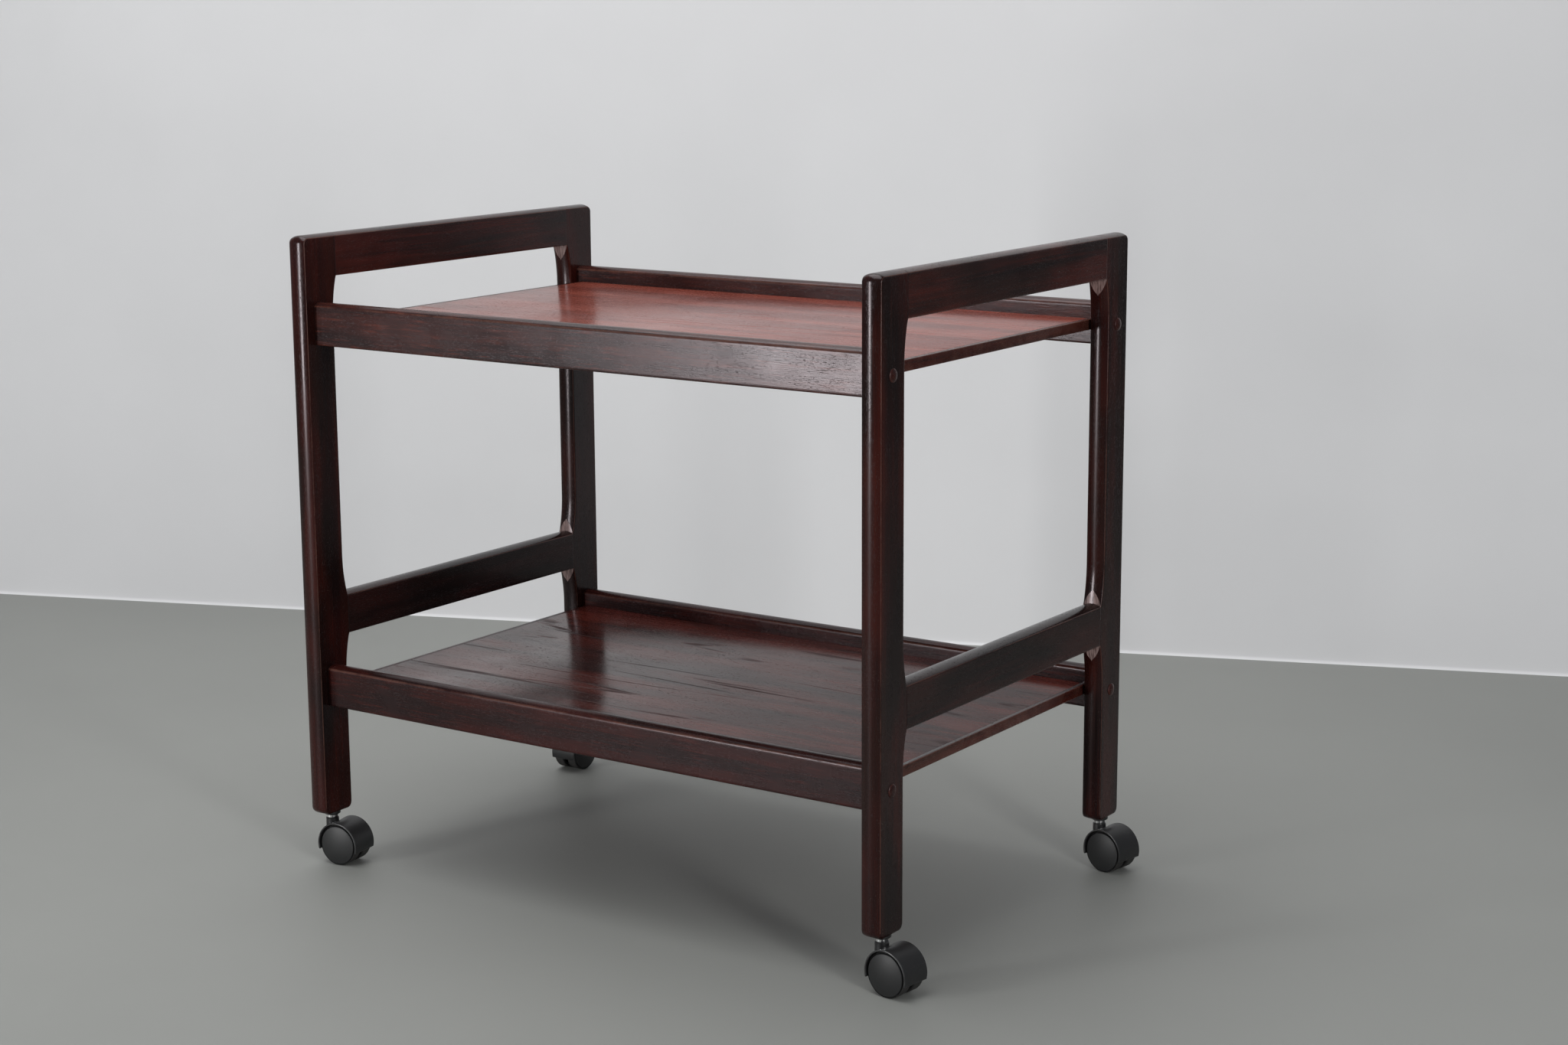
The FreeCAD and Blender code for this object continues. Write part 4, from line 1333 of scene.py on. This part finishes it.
@dataclass
class Caster(Assembly):
    """A hooded twin-wheel caster that trails to its own heading."""

    side: Side
    end: End
    heading: float
    trail: float = 0.015
    axle_drop: float = 0.0305
    flange_radius: float = 0.008
    flange_thickness: float = 0.0035
    flange_easing: float = 0.0006
    socket_radius: float = 0.0055
    socket_length: float = 0.034
    socket_play: float = 0.00005
    stem_radius: float = 0.004
    stem_length: float = 0.030
    stem_chamfer: float = 0.001
    spigot_radius: float = 0.003
    spigot_length: float = 0.0055
    swivel_gap: float = 0.0004
    collar_radius: float = 0.0056
    collar_height: float = 0.0032
    collar_easing: float = 0.0005
    hood_radius: float = 0.0224
    hood_wall: float = 0.0018
    hood_width: float = 0.0304
    hood_wrap: float = 16.0
    hood_easing: float = 0.0009
    hood_crown: float = 0.00025
    hood_steps: int = 56
    saddle_depth: float = 0.0016
    saddle_angle: float = 122.0
    saddle_spread: float = 30.0
    saddle_share: float = 0.9
    web_thickness: float = 0.005
    web_easing: float = 0.0006
    web_steps: int = 40
    neck_radius: float = 0.0062
    neck_fillet: float = 0.0016
    neck_easing: float = 0.0005
    neck_steps: int = 48
    neck_least: Pair = (0.006, 0.004)
    neck_sink: Pair = (0.0002, 0.0015)
    wheel_radius: float = 0.020
    wheel_width: float = 0.0114
    wheel_dome: float = 0.002
    wheel_bevel: float = 0.0006
    wheel_easing: float = 0.0011
    wheel_wall: float = 0.0022
    wheel_side_gap: float = 0.0004
    wheel_steps: int = 72
    tread_wall: float = 0.003
    tread_chamfer: float = 0.0005
    hub_radius: float = 0.005
    hub_bore: float = 0.00255
    disc_groove: float = 0.0006
    disc_easing: float = 0.0011
    dome_steps: int = 12
    groove_depth: float = 0.0026
    groove_lean: float = 0.0001
    bevel_shape: tuple[tuple[float, float, float, float], ...] = (
        (0.0, 2.6, 0.5, 1.0), (0.1, 2.3, 0.7, 0.9), (0.9, 1.3, 0.6, 0.4), (1.0, 1.25, 0.2, 0.0),
    )

    def __post_init__(self) -> None:
        """Work out where the caster stands."""
        self.name = f"caster_{self.side.word}_{self.end.word}"
        low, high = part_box(f"{self.name}_socket")
        foot = Vector(((low.x + high.x) / 2, (low.y + high.y) / 2, low.z + self.flange_thickness))
        turned = Matrix.Rotation(math.radians(self.heading), 4, "Z")
        self.matrix = Matrix.Translation(foot) @ turned
        self.collar_top = -self.flange_thickness - self.swivel_gap
        self.neck_top = self.collar_top - self.collar_height
        self.seed = 1.3 * self.side.value + 0.7 * self.end.value

    def build(self) -> None:
        """Build and dress every piece of the caster."""
        self.socket()
        self.stem()
        self.hood()
        for letter, way in (("a", -1), ("b", 1)):
            self.wheel(letter, way)

    def upright(self, x: float, y: float, z: float) -> Vector:
        """A point of the caster's own frame, z up from the foot and x along its trail."""
        return self.matrix @ Vector((x, y, z))

    def by_axle(self, x: float, y: float, z: float) -> Vector:
        """A point of the caster's own frame, measured from the middle of its axle."""
        return self.upright(self.trail + x, y, -self.axle_drop + z)

    def part(self, draft: Draft, name: str, body: str, finish: Finish) -> None:
        """Turn a draft into one of the caster's pieces."""
        node = f"{self.name}_{name}"
        self.fit(draft, node, finish, GrainAxis.ALONG_X, self.seed, body, "finished")

    def socket(self) -> None:
        """Build the moulded socket: a sleeve in the foot with a flange under it."""
        draft = Draft()
        bottom, ease, flange = -self.flange_thickness, self.flange_easing, self.flange_radius
        bore, outside = self.stem_radius + self.socket_play, self.socket_radius
        turn(draft, ((bore, bottom), (flange - ease, bottom, 0.4), (flange, bottom + ease, 0.8),
                     (flange, -ease / 2), (flange, 0.0), (outside, 0.0),
                     (outside, self.socket_length), (bore, self.socket_length)), self.upright)
        self.part(draft, "socket", "cart", SOCKET_PLASTIC)

    def stem(self) -> None:
        """Build the plated stem: its pin, the collar that shows and the spigot in the hood."""
        draft = Draft()
        foot, radius, cut = self.neck_top - self.spigot_length, self.stem_radius, self.stem_chamfer
        collar, ease = self.collar_radius, self.collar_easing
        top = self.stem_length - self.flange_thickness
        turn(draft, ((0.0, foot), (self.spigot_radius, foot), (self.spigot_radius, self.neck_top),
                     (collar - ease, self.neck_top), (collar, self.neck_top + ease),
                     (collar, self.collar_top - ease), (collar - ease, self.collar_top),
                     (radius, self.collar_top), (radius, top - cut), (radius - cut, top),
                     (0.0, top)), self.upright)
        self.part(draft, "stem", self.name, CHROME)

    def hood(self) -> None:
        """Build the hood: a shell over both wheels, the web between them and the neck on top."""
        draft = Draft()
        self.hood_shell(draft)
        self.hood_web(draft)
        self.hood_neck(draft)
        self.part(draft, "hood", self.name, HOOD_PLASTIC)

    def saddle(self, degrees: float, across: float) -> float:
        """How far the shell is drawn in under the neck.

        Args:
            degrees: The angle round the axle.
            across: The place along the axle.

        Returns:
            The depth.
        """
        turn_away = (degrees - self.saddle_angle) / self.saddle_spread
        inside = 1 - min(abs(across) / (self.saddle_share * self.hood_width / 2), 1.0)
        return self.saddle_depth * math.exp(-turn_away**2) * inside * inside * (3 - 2 * inside)

    def shell_section(self) -> list[tuple[float, float, float]]:
        """List the shell's section.

        Returns:
            Each point's place along the axle, radius and wear.
        """
        ease, flat = self.hood_easing, self.hood_width / 2 - self.hood_easing
        shares = (0.4, 0.6, 0.7, 0.8, 0.9, 0.97, 1.0)
        section = [(share * flat, self.hood_radius - self.hood_crown * share * share,
                    0.2 if abs(share) == 1.0 else 0.0)
                   for share in (*(-share for share in reversed(shares)), 0.0, *shares)]
        rim = [(flat + ease * sine, self.hood_radius - ease + ease * cosine, wear)
               for (cosine, sine), wear in zip(arc(*range(30, 181, 30)), (1.0,) * 3 + (0.3,) * 3)]
        inner = self.hood_radius - self.hood_wall
        return [*section, *rim, (flat, inner, 0.0), (-flat, inner, 0.0),
                *((-across, radius, wear) for across, radius, wear in reversed(rim))]

    def hood_shell(self, draft: Draft) -> None:
        """Sweep the shell's section round the axle, with rounded rims and ends.

        Args:
            draft: The hood's mesh.
        """
        half = self.hood_width / 2
        middle = (self.hood_radius + (self.hood_radius - self.hood_wall)) / 2
        first, last = -self.hood_wrap, 180.0 + self.hood_wrap
        ends = ((0.0, 0.0007), (0.7, 0.0002), (1.8, 0.0))
        bend, steps = ends[-1][0], self.hood_steps
        stops = [(first + way, inset) for way, inset in ends]
        stops += [(first + bend + (last - first - 2 * bend) * step / steps, 0.0)
                  for step in range(1, steps)]
        stops += [(last - way, inset) for way, inset in reversed(ends)]
        section = self.shell_section()
        rows = []
        for degrees, inset in stops:
            ((cosine, sine),) = arc(degrees)
            row = []
            for across, radius, wear in section:
                if radius > middle:
                    radius -= self.saddle(degrees, across)
                drawn = middle + (radius - middle) * (1 - inset / (self.hood_wall / 2))
                point = self.by_axle(drawn * cosine, across * (1 - inset / half), drawn * sine)
                row.append(draft.add(point, max(wear, 0.7 if inset > 0.0 else 0.0)))
            rows.append(row)
        draft.tube(rows)

    def hood_web(self, draft: Draft) -> None:
        """Close the shell's middle with the web that holds the axle.

        Args:
            draft: The hood's mesh.
        """
        radius = self.hood_radius - self.hood_wall / 2
        half, ease = self.web_thickness / 2, self.web_easing
        first, sweep = -self.hood_wrap, 180.0 + 2 * self.hood_wrap
        ring = arc(*(first + sweep * step / self.web_steps for step in range(self.web_steps + 1)))
        rows = []
        for across, inset in ((-half, ease), (-half + ease, 0.0), (half - ease, 0.0), (half, ease)):
            reach = radius - inset
            rows.append([draft.add(self.by_axle(reach * u, across, reach * v), 0.2, 0.3)
                         for u, v in ring])
        draft.tube(rows)

    def hood_neck(self, draft: Draft) -> None:
        """Raise the neck from the shell, with a small fillet where they meet.

        Args:
            draft: The hood's mesh.
        """
        radius, fillet, ease = self.neck_radius, self.neck_fillet, self.neck_easing

        def shell_height(x: float, least: float) -> float:
            """Height of the shell's outside at a place along the trail, or a least one."""
            low = self.hood_radius - self.saddle_depth
            return -self.axle_drop + max(math.sqrt(max(low**2 - (self.trail - x) ** 2, 0.0)), least)

        rows: list[list[int]] = [[] for _ in range(9)]
        for step in range(self.neck_steps):
            angle = math.tau * step / self.neck_steps
            way = (math.cos(angle), math.sin(angle))
            foot = shell_height(radius * way[0], self.neck_least[0])
            spread = shell_height((radius + fillet) * way[0], self.neck_least[1])
            pulls = ((radius, foot + fillet), (radius, foot), (radius + fillet, spread))
            column = [(0.0, self.neck_top), (radius - ease, self.neck_top),
                      (radius, self.neck_top - ease), pulls[0],
                      *(curve(share, pulls) for share in (0.25, 0.5, 0.75, 1.0)),
                      (radius + fillet - self.neck_sink[0], spread - self.neck_sink[1])]
            for row, (reach, z) in zip(rows, column):
                worn = z > self.neck_top - 2 * ease and reach > ease
                row.append(draft.add(self.upright(reach * way[0], reach * way[1], z),
                                     0.7 if worn else 0.0))
        draft.bridge(rows, closed=True)

    def wheel(self, letter: str, way: int) -> None:
        """Build a wheel: a domed disc with an eased tread, open on the inside.

        Args:
            letter: The last letter of its node's name.
            way: The side of the web that it is on.
        """
        draft = Draft()
        start = self.web_thickness / 2 + self.wheel_side_gap
        radius, width, ease, bevel = (self.wheel_radius, self.wheel_width, self.wheel_easing,
                                      self.wheel_bevel)
        inside, wall, lip = radius - self.tread_wall, width - self.wheel_wall, self.disc_easing
        disc, groove = radius - bevel - self.disc_groove, width - self.groove_depth
        face, dome = disc - lip, self.wheel_dome
        sphere = (face**2 + dome**2) / (2 * dome)
        profile = [
            (self.hub_bore, 0.0), (self.hub_radius, 0.0), (self.hub_radius, wall), (inside, wall),
            (inside, self.tread_chamfer), (inside + self.tread_chamfer, 0.0),
            (radius - ease, 0.0, 0.3, 0.4),
            *((radius - ease + ease * cosine, ease + ease * sine, 0.4, 0.7)
              for cosine, sine in arc(-60, -30, 0)),
            *((radius, ease + (width - ease - self.bevel_shape[0][1] * bevel) * share, 0.2, 1.0)
              for share in (0.3, 0.7)),
            *((radius - drop * bevel, width - back * bevel, *marks)
              for drop, back, *marks in self.bevel_shape),
            (radius - bevel - self.groove_lean, groove), (disc, groove), (disc, width - lip),
            *((face + lip * cosine, width - lip + lip * sine, wear)
              for (cosine, sine), wear in zip(arc(*range(15, 76, 15)), (0.2, 0.2, 0.8, 0.2, 0.2))),
        ]
        for step in range(self.dome_steps + 1):
            at = face * (1 - step / self.dome_steps)
            profile.append((at, width + math.sqrt(sphere**2 - at**2) - (sphere - dome)))

        def place(a: float, b: float, along: float) -> Vector:
            """A point of the wheel, turned about its axle."""
            return self.by_axle(a, way * (start + along), b)

        turn(draft, profile, place, self.wheel_steps)
        self.part(draft, f"wheel_{letter}", f"{self.name}_wheel_{letter}", WHEEL_PLASTIC)


class HiddenPieces(Assembly):
    """Fasteners inside the joints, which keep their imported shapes."""

    def build(self) -> None:
        """Give each hidden node its finish."""
        for name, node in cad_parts.items():
            if name.startswith("dowels"):
                finish: Finish = DOWEL_WOOD
            elif name.startswith("rail_screws") or name.endswith("_axle"):
                finish = STEEL
            else:
                continue
            node.data.materials.clear()
            node.data.materials.append(self.materials[finish])
            log.info("%s keeps its packed shape", name)


@dataclass(frozen=True)
class Lamp:
    """A rectangular area lamp: its place, the point that it faces, its size and its watts."""

    name: str
    at: tuple[float, float, float]
    towards: tuple[float, float, float]
    size: Pair
    power: float

    def build(self) -> None:
        """Add the lamp to the scene."""
        light = bpy.data.lights.new(self.name, "AREA")
        light.shape = "RECTANGLE"
        light.size, light.size_y = self.size
        light.energy = self.power
        made = bpy.data.objects.new(self.name, light)
        made.location = self.at
        facing = Vector(self.towards) - Vector(self.at)
        made.rotation_euler = facing.to_track_quat("-Z", "Y").to_euler()
        bpy.context.scene.collection.objects.link(made)


@dataclass(frozen=True)
class Studio:
    """A plain pale floor and backdrop, soft lamps, and the camera."""

    materials: dict[Finish, bpy.types.Material]
    wall_point: Pair = (0.444, 1.153)
    wall_turn: float = 20.5
    wall_reach: float = 0.22
    wall_height: float = 4.0
    cove: float = 0.004
    floor_depth: Pair = (-9.0, 5.0)
    floor_run: Pair = (-6.0, 6.0)
    camera_place: tuple[float, float, float] = (1.4534, -2.0285, 0.8366)
    camera_turn: float = 34.290
    camera_tilt: float = -11.321
    camera_roll: float = -0.305
    focal_length: float = 61.966
    sensor_width: float = 36.0
    sight: float = 50.0
    lamps: tuple[Lamp, ...] = (
        Lamp("ceiling_lamp", (-0.4, -0.2, 2.7), (-0.1, 0.0, 0.2), (2.9, 1.7), 57.0),
        Lamp("front_left_lamp", (-1.03, -2.20, 0.51), (0.0, 0.0, 0.51), (0.34, 0.92), 24.0),
        Lamp("right_lamp", (2.2, -1.15, 0.95), (0.0, 0.0, 0.5), (0.30, 1.6), 22.0),
    )
    world_colour: Colour = (0.9, 0.93, 1.0)
    world_strength: float = 0.20

    def build(self) -> None:
        """Set up the floor, the backdrop, the light and the camera."""
        self.backdrop()
        for lamp in self.lamps:
            lamp.build()
        self.world()
        self.camera()
        bpy.context.scene.view_settings.view_transform = "Standard"

    def backdrop(self) -> None:
        """Lay the floor and raise the wall behind the cart, with a small cove at its foot."""
        cove = self.cove
        profile = [(-cove, 0.0)]
        profile += [(-cove + cove * sine, cove - cove * cosine)
                    for cosine, sine in arc(*range(15, 91, 15))]
        profile.append((0.0, self.wall_height))
        self.sweep(FLOOR_PAINT, [(depth, 0.0) for depth in self.floor_depth], self.floor_run)
        self.sweep(WALL_PAINT, profile, (self.floor_run[0], self.wall_reach))

    def sweep(self, paint: StudioPaint, profile: list[Pair], run: Pair) -> None:
        """Sweep a profile along the wall's direction.

        Args:
            paint: The finish, which also names the new object.
            profile: Points towards the wall and up.
            run: Where the sweep starts and ends along the wall.
        """
        turned = Matrix.Rotation(math.radians(self.wall_turn), 4, "Z")
        placed = Matrix.Translation((*self.wall_point, 0.0)) @ turned
        mesh = bpy.data.meshes.new(paint.name)
        count = len(profile)
        mesh.from_pydata([placed @ Vector((x, y, z)) for x in run for y, z in profile], [],
                         [(i, count + i, count + i + 1, i + 1) for i in range(count - 1)])
        mesh.materials.append(self.materials[paint])
        for polygon in mesh.polygons:
            polygon.use_smooth = True
        swept = bpy.data.objects.new(paint.name, mesh)
        bpy.context.scene.collection.objects.link(swept)

    def world(self) -> None:
        """Fill the room with a faint even light."""
        world = bpy.context.scene.world or bpy.data.worlds.new("studio_world")
        bpy.context.scene.world = world
        world.use_nodes = True
        background = world.node_tree.nodes["Background"]
        background.inputs["Color"].default_value = (*self.world_colour, 1.0)
        background.inputs["Strength"].default_value = self.world_strength

    def camera(self) -> None:
        """Set the camera where the photograph was taken from."""
        angles = (self.camera_turn, self.camera_tilt, self.camera_roll)
        (turn_cos, turn_sin), (tilt_cos, tilt_sin), (roll_cos, roll_sin) = arc(*angles)
        forward = Vector((-turn_sin * tilt_cos, turn_cos * tilt_cos, tilt_sin))
        level = Vector((turn_cos, turn_sin, 0.0))
        upright = level.cross(forward)
        right = level * roll_cos + upright * roll_sin
        upward = upright * roll_cos - level * roll_sin
        lens = bpy.data.cameras.new("camera")
        lens.sensor_width, lens.lens = self.sensor_width, self.focal_length
        lens.clip_end = self.sight
        made = bpy.data.objects.new("camera", lens)
        axes = Matrix((right, upward, -forward)).transposed().to_4x4()
        made.matrix_world = Matrix.Translation(self.camera_place) @ axes
        bpy.context.scene.collection.objects.link(made)
        bpy.context.scene.camera = made


HEADINGS = {
    (Side.RIGHT, End.FRONT): -7.5,
    (Side.RIGHT, End.REAR): -11.5,
    (Side.LEFT, End.FRONT): 7.0,
    (Side.LEFT, End.REAR): -89.0,
}


def main() -> None:
    """Dress the cart and set up the studio."""
    logging.basicConfig(level=logging.INFO, format="%(name)s: %(message)s")
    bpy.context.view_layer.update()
    effects = Effects(figure=wood_figure(), edges=rubbed_edges(), marks=handling_marks())
    materials = {finish: finish.material(effects) for finish in FINISHES}

    for side in Side:
        EndFrame(materials, side).build()
    for tier in Tier:
        ShelfTier(materials, tier).build()
    for (side, end), heading in HEADINGS.items():
        Caster(materials, side, end, heading).build()
    HiddenPieces(materials).build()
    Studio(materials).build()


if __name__ == "__main__":
    main()
